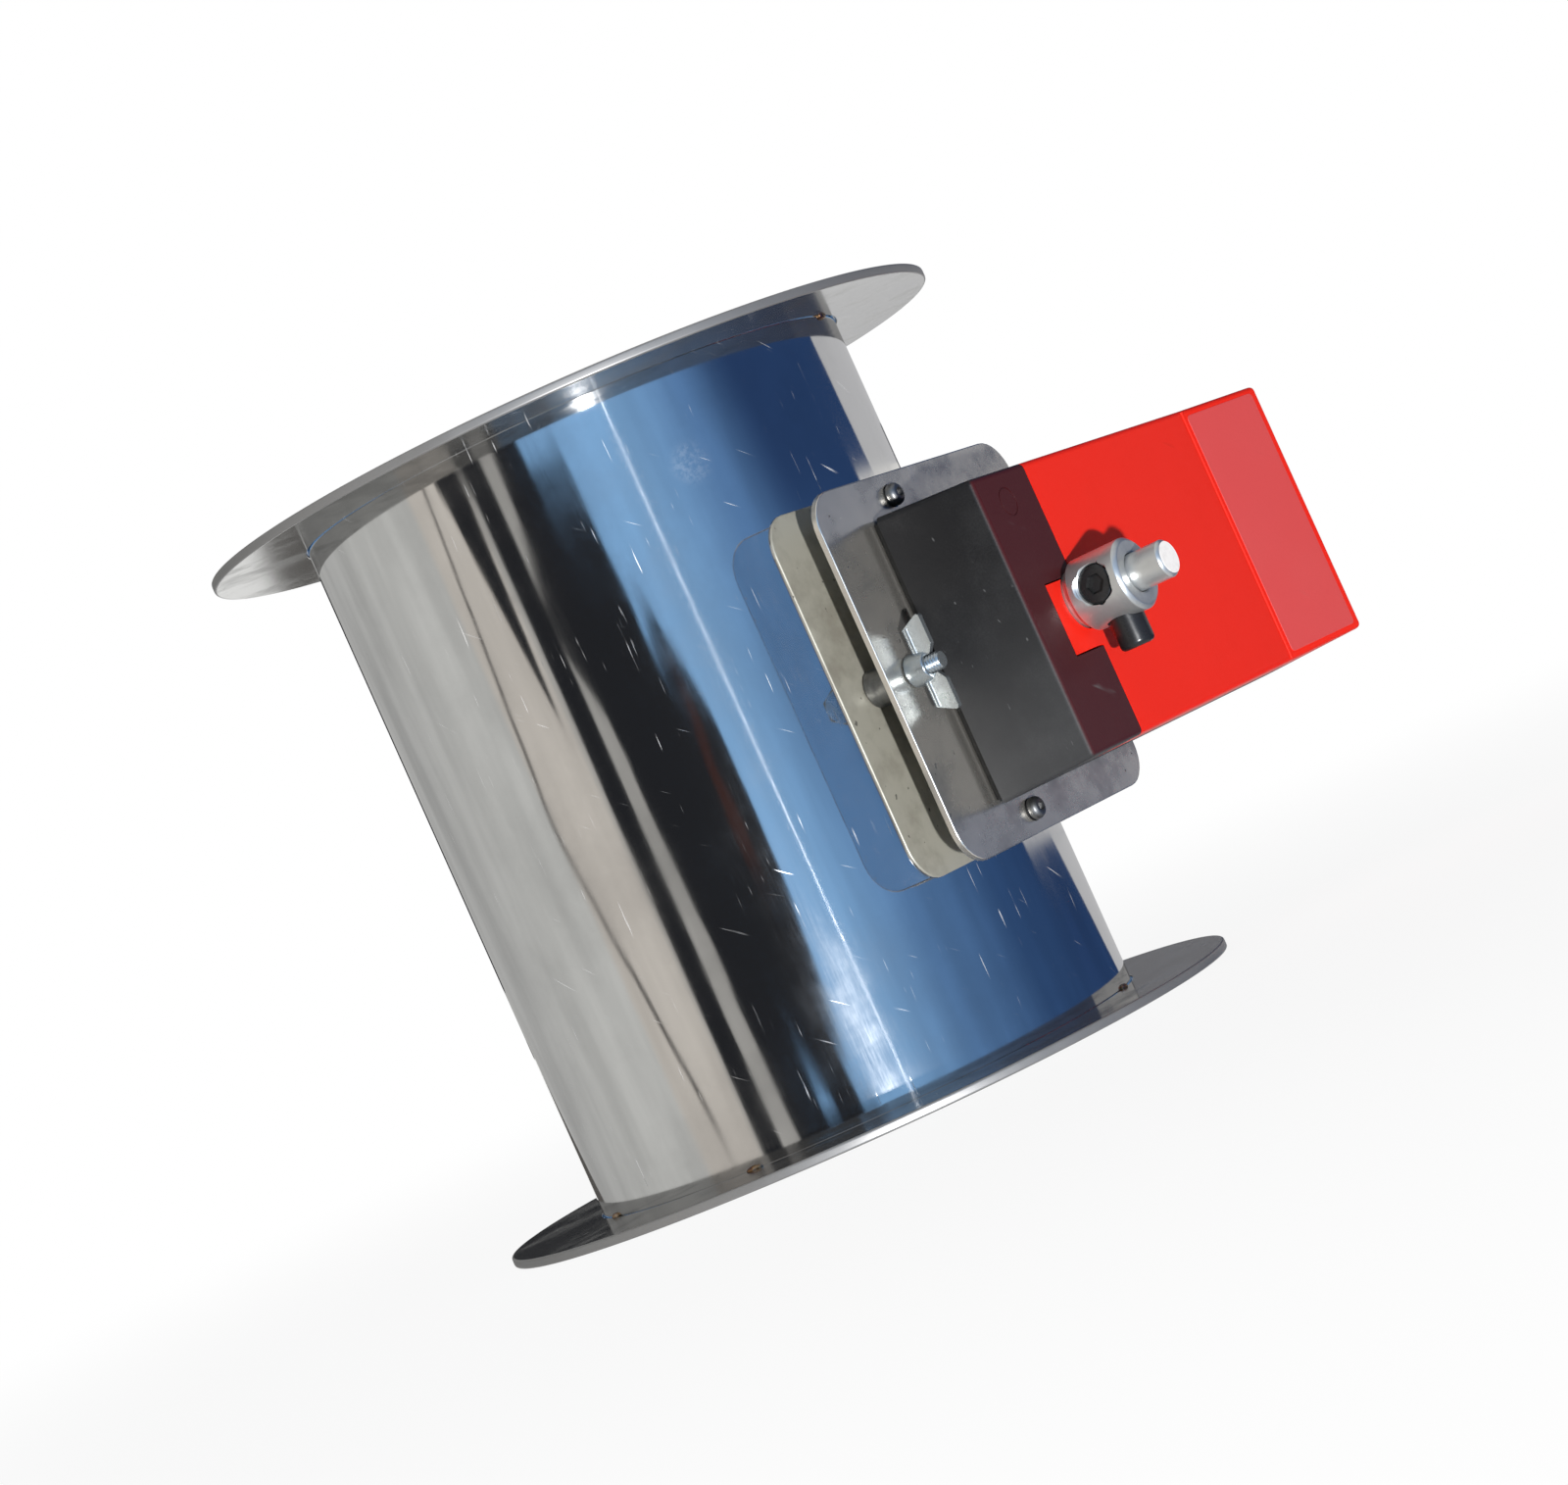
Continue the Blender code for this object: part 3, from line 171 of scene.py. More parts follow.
class Shader:
    """Builds one node material or the world's node tree."""

    def __init__(self, tree: bpy.types.NodeTree) -> None:
        """Empty the tree.

        Args:
            tree: The node tree to fill.
        """
        self.tree = tree
        tree.nodes.clear()

    def node(self, kind: str, settings: dict[str, Any] | None = None,
             inputs: dict[Union[int, str], Value] | None = None,
             output: Union[int, str] = 0) -> Sock:
        """Add a node.

        Args:
            kind: The node type without its ShaderNode prefix.
            settings: Properties that are set first. "stops" fills a colour ramp.
            inputs: Values or links by socket name or number.
            output: The output to return.

        Returns:
            The chosen output.
        """
        made = self.tree.nodes.new("ShaderNode" + kind)
        for key, value in (settings or {}).items():
            if key == "stops":
                self.fill_ramp(made.color_ramp, value)
            else:
                setattr(made, key, value)
        for key, value in (inputs or {}).items():
            if isinstance(value, Sock):
                self.tree.links.new(value.link, made.inputs[key])
            else:
                made.inputs[key].default_value = value
        return Sock(self, made.outputs[output] if len(made.outputs) else None)

    def fill_ramp(self, ramp: bpy.types.ColorRamp, stops: Sequence[tuple[float, Colour]]) -> None:
        """Give a colour ramp its stops.

        Args:
            ramp: The ramp, with its two first stops.
            stops: Positions and colours, in order.
        """
        while len(ramp.elements) < len(stops):
            ramp.elements.new(1.0)
        for element, (position, colour) in zip(ramp.elements, stops):
            element.position = position
            element.color = (*colour, 1.0)

    def place(self) -> Sock:
        """Return the place on the piece, in metres."""
        return self.node("TexCoord", output="Object")

    def split(self, vector: Sock) -> tuple[Sock, Sock, Sock]:
        """Return a vector's three parts."""
        parts = self.node("SeparateXYZ", inputs={0: vector}).link.node.outputs
        return Sock(self, parts[0]), Sock(self, parts[1]), Sock(self, parts[2])

    def stretch(self, vector: Sock, by: Sequence[float]) -> Sock:
        """Scale a vector along each axis."""
        return self.node("VectorMath", {"operation": "MULTIPLY"}, {0: vector, 1: by})

    def turned(self, vector: Sock, axis: Sequence[float], angle: float) -> Sock:
        """Turn a vector about an axis by an angle in degrees."""
        values = {"Vector": vector, "Axis": axis, "Angle": math.radians(angle)}
        return self.node("VectorRotate", inputs=values)

    def noise(self, vector: Sock, scale: float, detail: float = 3.0, rough: float = 0.55) -> Sock:
        """Return a noise between 0 and 1."""
        values = {"Vector": vector, "Scale": scale, "Detail": detail, "Roughness": rough}
        return self.node("TexNoise", inputs=values)

    def lines(self, vector: Sock, scale: float, along: Sequence[float], amount: float) -> Sock:
        """Return a mask of fine lines with breaks in them.

        Args:
            vector: The place.
            scale: Lines per metre, roughly.
            along: Stretch of each axis. The lines run along the axis with the least.
            amount: Share of the surface that the lines take.

        Returns:
            1 on a line and 0 beside it.
        """
        fine = self.noise(self.stretch(vector, along), scale, 2.0, 0.6)
        patch = self.noise(vector, scale / 14, 2.0)
        return fine.ramp(0.74 - amount, 0.80 - amount) * patch.ramp(0.42, 0.62)

    def mix(self, factor: Value, a: Value, b: Value) -> Sock:
        """Mix two colours."""
        inputs = {0: factor, 6: self.colour(a), 7: self.colour(b)}
        return self.node("Mix", {"data_type": "RGBA"}, inputs, 2)

    @staticmethod
    def colour(value: Value) -> Value:
        """Give a plain colour its alpha."""
        return value if isinstance(value, Sock) else (*value, 1.0)

    def bump(self, height: Sock, depth: float, normal: Sock | None = None) -> Sock:
        """Return a normal bent by a height.

        Args:
            height: The height, from 0 to 1.
            depth: The height's full size in metres.
            normal: A normal that is already bent.

        Returns:
            The normal.
        """
        values: dict[Union[int, str], Value] = {"Height": height, "Distance": depth}
        if normal:
            values["Normal"] = normal
        return self.node("Bump", inputs=values)

    def principled(self, **values: Value) -> None:
        """Add the Principled shader and the output.

        Args:
            values: Socket values, with underscores for the spaces in their names.
        """
        named = {key.replace("_", " "): value for key, value in values.items()}
        if "Base Color" in named:
            named["Base Color"] = self.colour(named["Base Color"])
        self.node("OutputMaterial", inputs={"Surface": self.node("BsdfPrincipled", inputs=named)})


# Finishes


@dataclass(frozen=True)
class MetalFinish:
    """Bare or plated metal with stains, grain, scratches and a slightly wavy surface.

    Attributes:
        slot: The record's material slot.
        colour: Colour of the clean metal.
        stain: Colour of its clouded and stained places.
        roughness: Roughness of the clean metal.
        dulled: Roughness that the stains add.
        cloud: Size of the stains, as noise scale.
        grain: Stretch of the grain along each axis.
        grain_scale: Fineness of the grain.
        grain_depth: Depth of the grain.
        scratches: Share of the surface that scratches take.
        pale: How much light the scratches scatter.
        wave: Height of the waves in the sheet.
        pits: Share of the surface that dark pits take.
        metallic: How much of the surface is bare metal.
        round_z: Whether the grain and scratches follow a tube along Z.
        dull_from: Distance from the duct axis up to which the sheet is bright like a mirror.
        smudge: Distance round the tube and height of a greasy round smudge.
        smudge_radius: The smudge's radius.
        rim: Distance from the duct axis beyond which the sheet's dull cut edge begins.
    """

    slot: str
    colour: Colour
    stain: Colour
    roughness: float = 0.25
    dulled: float = 0.12
    cloud: float = 45.0
    grain: tuple[float, float, float] = (1.0, 1.0, 1.0)
    grain_scale: float = 1500.0
    grain_depth: float = 0.000004
    scratches: float = 0.0
    pale: float = 0.0
    wave: float = 0.0
    pits: float = 0.0
    metallic: float = 1.0
    round_z: bool = False
    dull_from: float | None = None
    smudge: Point2 | None = None
    smudge_radius: float = 0.0056
    rim: float | None = None

    def tube_place(self, shader: Shader) -> Sock:
        """Unroll the tube: distance round it, height and no depth.

        Args:
            shader: The graph to add to.

        Returns:
            The unrolled place.
        """
        x, y, z = shader.split(shader.place())
        across, deep = x - AXIS.x, y - AXIS.y
        turn = across.math("ARCTAN2", deep, across)
        return shader.node("CombineXYZ", inputs={0: turn * (TUBE_HIGH.x - AXIS.x), 1: z, 2: 0.0})

    def dress(self, shader: Shader) -> None:
        """Fill a material's graph.

        Args:
            shader: The graph to fill.
        """
        place = self.tube_place(shader) if self.round_z else shader.place()
        cloud = shader.noise(place, self.cloud, 5.0, 0.62)
        smear = shader.noise(shader.stretch(place, (1.0, 0.35, 0.6)), self.cloud * 3.1, 4.0)
        stain = (cloud * 0.7 + smear * 0.3).ramp(0.44, 0.68)
        grain = shader.noise(shader.stretch(place, self.grain), self.grain_scale, 3.0, 0.7)
        colour = shader.mix(stain, self.colour, self.stain)
        rough = stain * self.dulled + grain * 0.05 + (self.roughness - 0.025)
        height = grain
        metallic: Value = self.metallic
        if self.scratches:
            marks = self.scratch_mask(shader, place)
            colour = shader.mix(marks * 0.35, colour, tuple(min(1.0, c * 1.25) for c in self.colour))
            rough = rough + marks * 0.18
            height = height - marks * 2.0
            if self.pale:
                metallic = metallic - marks * self.pale
        if self.pits:
            dots = shader.noise(place, 420.0, 2.0, 0.5).ramp(0.74 - self.pits, 0.77 - self.pits)
            colour = shader.mix(dots * 0.8, colour, tuple(c * 0.22 for c in self.stain))
            rough = rough + dots * 0.3
            height = height - dots * 4.0
        if self.smudge:
            spot = self.smudge_mask(shader, place)
            colour = shader.mix(spot * 0.06, colour, (1.0, 1.0, 1.0))
            rough = rough + spot * 0.15
        if self.dull_from is not None:
            dull = (shader.split(place)[0] - (AXIS.x + self.dull_from)).ramp(-0.0001, 0.0001)
            colour = shader.mix(dull, (0.60, 0.60, 0.61), colour)
            rough = rough * dull + (1 - dull) * 0.07
            metallic = dull * (self.metallic - 1.0) + 1.0
        if self.rim is not None:
            x, y, _ = shader.split(place)
            away = shader.node("CombineXYZ", inputs={0: x - AXIS.x, 1: y - AXIS.y, 2: 0.0})
            reach = shader.node("VectorMath", {"operation": "LENGTH"}, {0: away}, "Value")
            cut = (reach - self.rim).ramp(-0.0006, -0.0003)
            colour = shader.mix(cut, colour, (0.26, 0.255, 0.25))
            rough = rough + cut * 0.28
            metallic = 1 - cut * 0.45
        normal = None
        if self.wave:
            slow = shader.noise(shader.stretch(place, (1.0, 0.4, 1.0)), 14.0, 1.0, 0.4)
            normal = shader.bump(slow, self.wave)
        shader.principled(Base_Color=colour, Roughness=rough, Metallic=metallic,
                          Normal=shader.bump(height, self.grain_depth, normal))

    def scratch_mask(self, shader: Shader, place: Sock) -> Sock:
        """Return where the scratches are, with others across them.

        Args:
            shader: The graph to add to.
            place: The place, unrolled on a tube.

        Returns:
            1 on a scratch and 0 beside it.
        """
        along = shader.lines(place, 1300.0, (1.0, 0.045, 0.045), self.scratches)
        slanted = shader.turned(place, (0.0, 0.0, 1.0), 38.0)
        return along + shader.lines(slanted, 1100.0, (0.05, 1.0, 1.0), self.scratches * 0.75)

    def smudge_mask(self, shader: Shader, place: Sock) -> Sock:
        """Return where the smudge is, with its swirls.

        Args:
            shader: The graph to add to.
            place: The unrolled place.

        Returns:
            1 in the smudge and 0 beside it.
        """
        centre, radius = (*self.smudge, 0.0), self.smudge_radius
        away = shader.node("VectorMath", {"operation": "DISTANCE"}, {0: place, 1: centre}, "Value")
        swirl = shader.noise(place, 900.0, 4.0, 0.7)
        edge = away + swirl * (0.5 * radius)
        return edge.ramp(0.8 * radius, 1.4 * radius, 1.0, 0.0) * swirl.ramp(0.3, 0.6)


@dataclass(frozen=True)
class PlasticFinish:
    """Moulded plastic, rubber or lacquer with a fine texture, dust and scuffs.

    Attributes:
        slot: The record's material slot.
        colour: The plastic's colour.
        worn: Its colour where it is dusty or rubbed.
        roughness: Roughness of the clean plastic.
        texture: Depth of the moulded texture.
        texture_scale: Fineness of the texture.
        scuffs: How strongly scuffs show.
        top_tint: Another colour for the face that looks along the shaft.
        top_x: Where that face begins, from the duct axis.
        tracks: Colour of copper tracks, on a circuit board.
        settled: How much more dust lies toward the lower end.
        shine: Strength of what the surface mirrors.
        painted_shade_below: Distance from the duct axis below which the colour is painted near black, as
            shade in the step round the base's foot.
    """

    slot: str
    colour: Colour
    worn: Colour
    roughness: float = 0.42
    texture: float = 0.00002
    texture_scale: float = 2600.0
    scuffs: float = 0.5
    top_tint: Colour | None = None
    top_x: float = 0.0
    tracks: Colour | None = None
    settled: float = 0.0
    shine: float = 0.5
    painted_shade_below: float | None = None

    def dress(self, shader: Shader) -> None:
        """Fill a material's graph.

        Args:
            shader: The graph to fill.
        """
        place = shader.place()
        texture = shader.noise(place, self.texture_scale, 2.0, 0.6)
        cloud = shader.noise(place, 38.0, 5.0, 0.6)
        dust = (cloud * 0.75 + texture * 0.25).ramp(0.46, 0.72)
        scratch = shader.lines(shader.turned(place, (1.0, 0.2, 0.1), 27.0), 650.0, (1.0, 0.05, 0.4), 0.05)
        colour: Value = self.colour
        x, _, z = shader.split(place)
        if self.settled:
            low = (z - AXIS.z).ramp(-0.032, 0.020, 1.0, 0.0)
            dust = dust * 0.2 + low * (cloud * 0.8 + 0.3) * self.settled
        if self.top_tint:
            top = (x - (AXIS.x + self.top_x)).ramp(-0.0004, 0.0002)
            colour = shader.mix(top, colour, self.top_tint)
            dust = dust * (1 - top * 0.85)
        if self.tracks:
            grid = shader.node("TexBrick", inputs={
                "Vector": shader.turned(place, (0.0, 1.0, 0.0), 90.0), "Scale": 90.0,
                "Color1": (1, 1, 1, 1), "Color2": (0, 0, 0, 1), "Mortar": (1, 1, 1, 1)})
            colour = shader.mix(grid.ramp(0.4, 0.6) * 0.5, colour, self.tracks)
        colour = shader.mix(dust * (0.55 * self.scuffs), colour, self.worn)
        colour = shader.mix(scratch * self.scuffs, colour, self.worn)
        # Painted shade: near black below this distance, standing in for the shadow in the step round the
        # base's foot.
        if self.painted_shade_below is not None:
            above = (x - (AXIS.x + self.painted_shade_below)).ramp(-0.0001, 0.0001)
            colour = shader.mix(above, (0.001, 0.001, 0.001), colour)
        rough = dust * 0.12 + texture * 0.10 + scratch * 0.15 + (self.roughness - 0.05)
        normal = shader.bump(texture - scratch * 0.6, self.texture)
        shader.principled(Base_Color=colour, Roughness=rough, Specular_IOR_Level=self.shine, Normal=normal)


@dataclass(frozen=True)
class WeldFinish:
    """Weld bead with heat colours from straw to blue.

    Attributes:
        slot: The record's material slot.
        roughness: Roughness of the bead.
    """

    slot: str
    roughness: float = 0.34

    def dress(self, shader: Shader) -> None:
        """Fill a material's graph.

        Args:
            shader: The graph to fill.
        """
        place = shader.place()
        heat = shader.noise(place, 520.0, 3.0, 0.5)
        stops = [(0.30, (0.50, 0.47, 0.42)), (0.48, (0.34, 0.20, 0.09)),
                 (0.60, (0.14, 0.07, 0.06)), (0.72, (0.10, 0.12, 0.20))]
        colour = shader.node("ValToRGB", {"stops": stops}, {0: heat})
        ripple = shader.noise(place, 1800.0, 2.0)
        shader.principled(Base_Color=colour, Metallic=1.0, Roughness=ripple * 0.2 + self.roughness,
                          Normal=shader.bump(ripple, 0.00003))


class Finish(Enum):
    """The finishes of the damper."""

    MIRROR_TUBE = MetalFinish(
        "polished_stainless", (0.80, 0.80, 0.80), (0.70, 0.70, 0.70), roughness=0.055, dulled=0.05,
        cloud=26.0, grain=(1.0, 0.05, 1.0), grain_scale=2600.0, grain_depth=0.0000012,
        scratches=0.065, pale=0.5, wave=0.00020, round_z=True, smudge=(-0.0393, 0.1370))
    UPPER_FLANGE = MetalFinish(
        "polished_stainless", (0.60, 0.60, 0.59), (0.34, 0.34, 0.33), roughness=0.13, dulled=0.10,
        cloud=60.0, grain_depth=0.000003, scratches=0.06, wave=0.00008, rim=0.08425)
    # Painted shade: the lower flange is a darker copy of the same polished steel, for the darker look of
    # its top face.
    SHADED_LOWER_FLANGE = MetalFinish(
        "polished_stainless", (0.38, 0.375, 0.37), (0.20, 0.20, 0.195), roughness=0.12, dulled=0.12,
        cloud=50.0, grain_depth=0.000003, scratches=0.06, wave=0.00008, rim=0.08425)
    BRIGHT_PLATE = MetalFinish(
        "bracket_stainless", (0.79, 0.755, 0.69), (0.50, 0.485, 0.45), roughness=0.22, dulled=0.14,
        cloud=70.0, grain=(1.0, 1.0, 0.06), grain_depth=0.000002, scratches=0.05, wave=0.00012,
        pits=0.02, metallic=0.9)
    # Back plate: real stains and pits, with a beige tint that is a painted reflection of the pale ground.
    DUST_AND_REFLECTION_TINT_PLATE = MetalFinish(
        "bracket_stainless", (0.46, 0.445, 0.375), (0.33, 0.31, 0.255), roughness=0.42, dulled=0.12,
        cloud=95.0, grain=(1.0, 1.0, 0.1), grain_depth=0.000006, scratches=0.02, pits=0.045,
        metallic=0.4, dull_from=0.0634)
    ROLLED_BLADE = MetalFinish(
        "bracket_stainless", (0.58, 0.58, 0.585), (0.44, 0.44, 0.44), roughness=0.26, dulled=0.14,
        grain=(0.05, 1.0, 1.0), grain_depth=0.000005, scratches=0.05)
    ZINC = MetalFinish(
        "zinc_plated_steel", (0.48, 0.52, 0.54), (0.33, 0.37, 0.38), roughness=0.25, dulled=0.12,
        cloud=150.0, grain_scale=2400.0, grain_depth=0.000002, scratches=0.03, pits=0.01,
        metallic=0.9)
    TURNED_ZINC = MetalFinish(
        "zinc_plated_steel", (0.66, 0.67, 0.66), (0.47, 0.48, 0.48), roughness=0.34, dulled=0.12,
        cloud=120.0, grain=(1.0, 0.04, 0.04), grain_scale=3200.0, grain_depth=0.000006,
        scratches=0.03, metallic=0.85)
    SAWN_END = MetalFinish(
        "zinc_plated_steel", (0.97, 0.95, 0.93), (0.86, 0.84, 0.82), roughness=0.5, dulled=0.1,
        cloud=500.0, grain=(1.0, 1.0, 0.05), grain_scale=2600.0, grain_depth=0.00001, metallic=0.15)
    # Darkened zinc plating: painted shade for the spacers, which sit in the front plate's shadow; the
    # button screws use it too.
    SHADE_DARK_ZINC = MetalFinish(
        "zinc_plated_steel", (0.23, 0.23, 0.23), (0.12, 0.12, 0.12), roughness=0.42, cloud=180.0)
    SPRING_STEEL = MetalFinish(
        "spring_steel", (0.16, 0.16, 0.17), (0.07, 0.06, 0.05), roughness=0.38, cloud=200.0)
    BLACK_OXIDE = MetalFinish(
        "black_oxide_steel", (0.018, 0.018, 0.019), (0.010, 0.010, 0.010), roughness=0.26,
        dulled=0.15, cloud=260.0, grain_depth=0.000004, metallic=0.1)
    BRONZE = MetalFinish(
        "bearing_bronze", (0.38, 0.27, 0.15), (0.22, 0.15, 0.09), roughness=0.40, cloud=220.0,
        grain_depth=0.00001, pits=0.05)
    BRASS = MetalFinish(
        "gear_brass", (0.66, 0.46, 0.17), (0.46, 0.30, 0.11), roughness=0.28, cloud=160.0,
        grain=(0.05, 1.0, 1.0), scratches=0.02)
    RED_COVER = PlasticFinish(
        "red_plastic", (0.79, 0.020, 0.009), (0.66, 0.040, 0.026), roughness=0.40, scuffs=0.35,
        shine=0.12)
    RED_LABEL = PlasticFinish(
        "red_plastic", (0.64, 0.066, 0.064), (0.56, 0.09, 0.085), roughness=0.52,
        texture=0.000004, scuffs=0.3)
    # Below its foot height the black base is painted near black: painted shade in the step round the foot.
    BLACK_BASE = PlasticFinish(
        "black_plastic", (0.008, 0.008, 0.009), (0.15, 0.152, 0.155), roughness=0.46,
        texture=0.000025, scuffs=0.75, top_tint=(0.054, 0.009, 0.011), top_x=0.0982, settled=0.9,
        shine=0.22, painted_shade_below=0.0756)
    NYLON = PlasticFinish(
        "white_nylon", (0.75, 0.73, 0.66), (0.60, 0.57, 0.48), roughness=0.40, texture=0.000008)
    LAMINATE = PlasticFinish(
        "board_laminate", (0.03, 0.17, 0.07), (0.10, 0.22, 0.10), roughness=0.34,
        texture=0.000004, tracks=(0.05, 0.28, 0.12))
    RUBBER = PlasticFinish(
        "black_rubber", (0.014, 0.014, 0.014), (0.05, 0.05, 0.05), roughness=0.66, scuffs=0.8)
    WELD = WeldFinish("polished_stainless")

    def material(self) -> bpy.types.Material:
        """Return this finish's material, made once."""
        name = self.name.lower()
        found = bpy.data.materials.get(name)
        if found is None:
            found = bpy.data.materials.new(name)
            found.use_nodes = True
            self.value.dress(Shader(found.node_tree))
        return found


# Shapes


def soften(points: Sequence[Point2], radius: float, steps: int = 3, closed: bool = True) -> list[Point2]:
    """Round the corners of an outline.

    Args:
        points: The outline's corners.
        radius: How far from each corner the rounding begins.
        steps: Points added round each corner.
        closed: Whether the last point joins the first.

    Returns:
        The rounded outline.
    """
    result: list[Point2] = []
    for i, point in enumerate(points):
        if not closed and i in (0, len(points) - 1):
            result.append(tuple(point))
            continue
        corner = Vector(point)
        back = Vector(points[i - 1]) - corner
        on = Vector(points[(i + 1) % len(points)]) - corner
        reach = min(radius, back.length / 2.2, on.length / 2.2)
        start, end = corner + back.normalized() * reach, corner + on.normalized() * reach
        for k in range(steps + 1):
            t = k / steps
            result.append(tuple((1 - t) ** 2 * start + 2 * t * (1 - t) * corner + t * t * end))
    return result


def finish_mesh(bm: bmesh.types.BMesh, matrix: Matrix = Matrix.Identity(4)) -> bpy.types.Mesh:
    """Turn a bmesh into a smooth mesh with sharp creases.

    Args:
        bm: The bmesh, which is freed.
        matrix: Where the mesh goes.

    Returns:
        The mesh in scene coordinates.
    """
    bmesh.ops.remove_doubles(bm, verts=bm.verts, dist=1e-7)
    bmesh.ops.recalc_face_normals(bm, faces=bm.faces)
    mesh = bpy.data.meshes.new("piece")
    bm.to_mesh(mesh)
    bm.free()
    mesh.transform(matrix)
    mesh.shade_smooth()
    mesh.set_sharp_from_angle(angle=SMOOTH_ANGLE)
    return mesh


def turned(profile: Sequence[Point2], matrix: Matrix, segments: int = 64) -> bpy.types.Mesh:
    """Turn a profile of (radius, height) points round Z.

    Args:
        profile: A closed section, or one that begins and ends on the axis.
        matrix: Where the piece goes.
        segments: Steps round the axis.

    Returns:
        The mesh.
    """
    bm = bmesh.new()
    corners = [bm.verts.new((radius, 0, height)) for radius, height in profile]
    edges = [bm.edges.new(pair) for pair in zip(corners, corners[1:])]
    if profile[0][0] > 0 and profile[-1][0] > 0:
        edges.append(bm.edges.new((corners[-1], corners[0])))
    bmesh.ops.spin(bm, geom=corners + edges, angle=2 * math.pi, steps=segments,
                   axis=(0, 0, 1), cent=(0, 0, 0), use_merge=True)
    return finish_mesh(bm, matrix)


def prism(outline: Sequence[Point2], height: float, matrix: Matrix) -> bpy.types.Mesh:
    """Extrude an outline along Z.

    Args:
        outline: The outline's points.
        height: How high it becomes.
        matrix: Where the piece goes.

    Returns:
        The mesh.
    """
    bm = bmesh.new()
    low = [bm.verts.new((x, y, 0)) for x, y in outline]
    high = [bm.verts.new((x, y, height)) for x, y in outline]
    bm.faces.new(low[::-1])
    bm.faces.new(high)
    for i in range(len(low)):
        bm.faces.new((low[i - 1], low[i], high[i], high[i - 1]))
    return finish_mesh(bm, matrix)


def block(low: Vector, high: Vector) -> bpy.types.Mesh:
    """Make a box between two corners."""
    outline = [(low.x, low.y), (high.x, low.y), (high.x, high.y), (low.x, high.y)]
    return prism(outline, high.z - low.z, Matrix.Translation((0, 0, low.z)))


def circle(radius: float, sides: int, start: float = 0.0) -> list[Point2]:
    """Return the points of a circle or a regular polygon."""
    angles = [start + 2 * math.pi * i / sides for i in range(sides)]
    return [(radius * math.cos(a), radius * math.sin(a)) for a in angles]


def ring(inner: float, outer: float, start: float, end: float, edge: float) -> list[Point2]:
    """Return the section of a ring with rounded edges."""
    return soften([(inner, start), (outer, start), (outer, end), (inner, end)], edge)


def rod(radius: float, start: float, end: float, edge: float) -> list[Point2]:
    """Return half the section of a rod with rounded ends."""
    return soften([(0, start), (radius, start), (radius, end), (0, end)], edge, closed=False)


def sweep(path: Sequence[Vector], radius: float, closed: bool, sides: int = 10) -> bpy.types.Mesh:
    """Lead a circle along a path.

    Args:
        path: The path's points in scene coordinates.
        radius: The circle's radius.
        closed: Whether the path closes.
        sides: Points round the circle.

    Returns:
        The mesh.
    """
    bm = bmesh.new()
    count = len(path)
    rings = []
    for i, centre in enumerate(path):
        before = path[i - 1] if closed or i else path[0]
        after = path[(i + 1) % count] if closed or i < count - 1 else path[-1]
        direction = (after - before).normalized()
        side = direction.cross(Vector((0.31, 0.17, 0.93))).normalized()
        up = direction.cross(side)
        rings.append([bm.verts.new(centre + side * x + up * y) for x, y in circle(radius, sides)])
    for i in range(count if closed else count - 1):
        here, there = rings[i], rings[(i + 1) % count]
        for k in range(sides):
            bm.faces.new((here[k - 1], here[k], there[k], there[k - 1]))
    if not closed:
        bm.faces.new(rings[0])
        bm.faces.new(rings[-1])
    return finish_mesh(bm)


def threaded(radius: float, pitch: float, length: float, matrix: Matrix,
             point: float = 0.8) -> bpy.types.Mesh:
    """Make a threaded rod along Z with tapered ends.

    Args:
        radius: Outside radius.
        pitch: The thread's pitch.
        length: The rod's length.
        matrix: Where the rod goes.
        point: Radius of each end as a share of the radius.

    Returns:
        The mesh.
    """
    per_turn, depth, sides = 6, 0.54 * pitch, 28
    rows = max(4, round(length / pitch * per_turn))
    bm = bmesh.new()
    rings = []
    for row in range(rows + 1):
        height = length * row / rows
        limit = radius * point + min(height, length - height)
        corners = []
        for k in range(sides):
            turn = k / sides
            wave = abs(((height / pitch - turn) % 1.0) * 2 - 1)
            size = min(radius - depth * (1 - wave), limit)
            angle = 2 * math.pi * turn
            corners.append(bm.verts.new((size * math.cos(angle), size * math.sin(angle), height)))
        rings.append(corners)
    for low, high in zip(rings, rings[1:]):
        for k in range(sides):
            bm.faces.new((low[k - 1], low[k], high[k], high[k - 1]))
    bm.faces.new(rings[0][::-1])
    bm.faces.new(rings[-1])
    return finish_mesh(bm, matrix)


def combined(mesh: bpy.types.Mesh, others: Iterable[bpy.types.Mesh], operation: str) -> bpy.types.Mesh:
    """Cut meshes out of a mesh, join them to it or keep what they share.

    Args:
        mesh: The mesh to change.
        others: The meshes that change it, one after the other.
        operation: DIFFERENCE, UNION or INTERSECT.

    Returns:
        The new mesh.
    """
    scene = bpy.context.scene.collection.objects
    for other in others:
        body = bpy.data.objects.new("body", mesh)
        tool = bpy.data.objects.new("tool", other)
        scene.link(body)
        scene.link(tool)
        modifier = body.modifiers.new("cut", "BOOLEAN")
        modifier.operation, modifier.object, modifier.solver = operation, tool, "EXACT"
        graph = bpy.context.evaluated_depsgraph_get()
        mesh = bpy.data.meshes.new_from_object(body.evaluated_get(graph))
        bpy.data.objects.remove(body)
        bpy.data.objects.remove(tool)
    mesh.shade_smooth()
    mesh.set_sharp_from_angle(angle=SMOOTH_ANGLE)
    return mesh


def hole(radius: float, start: Vector, end: Vector, sides: int = 48) -> bpy.types.Mesh:
    """Make the cutter of a round hole from start to end."""
    turn = (end - start).to_track_quat("Z", "Y").to_matrix().to_4x4()
    return prism(circle(radius, sides), (end - start).length, Matrix.Translation(start) @ turn)


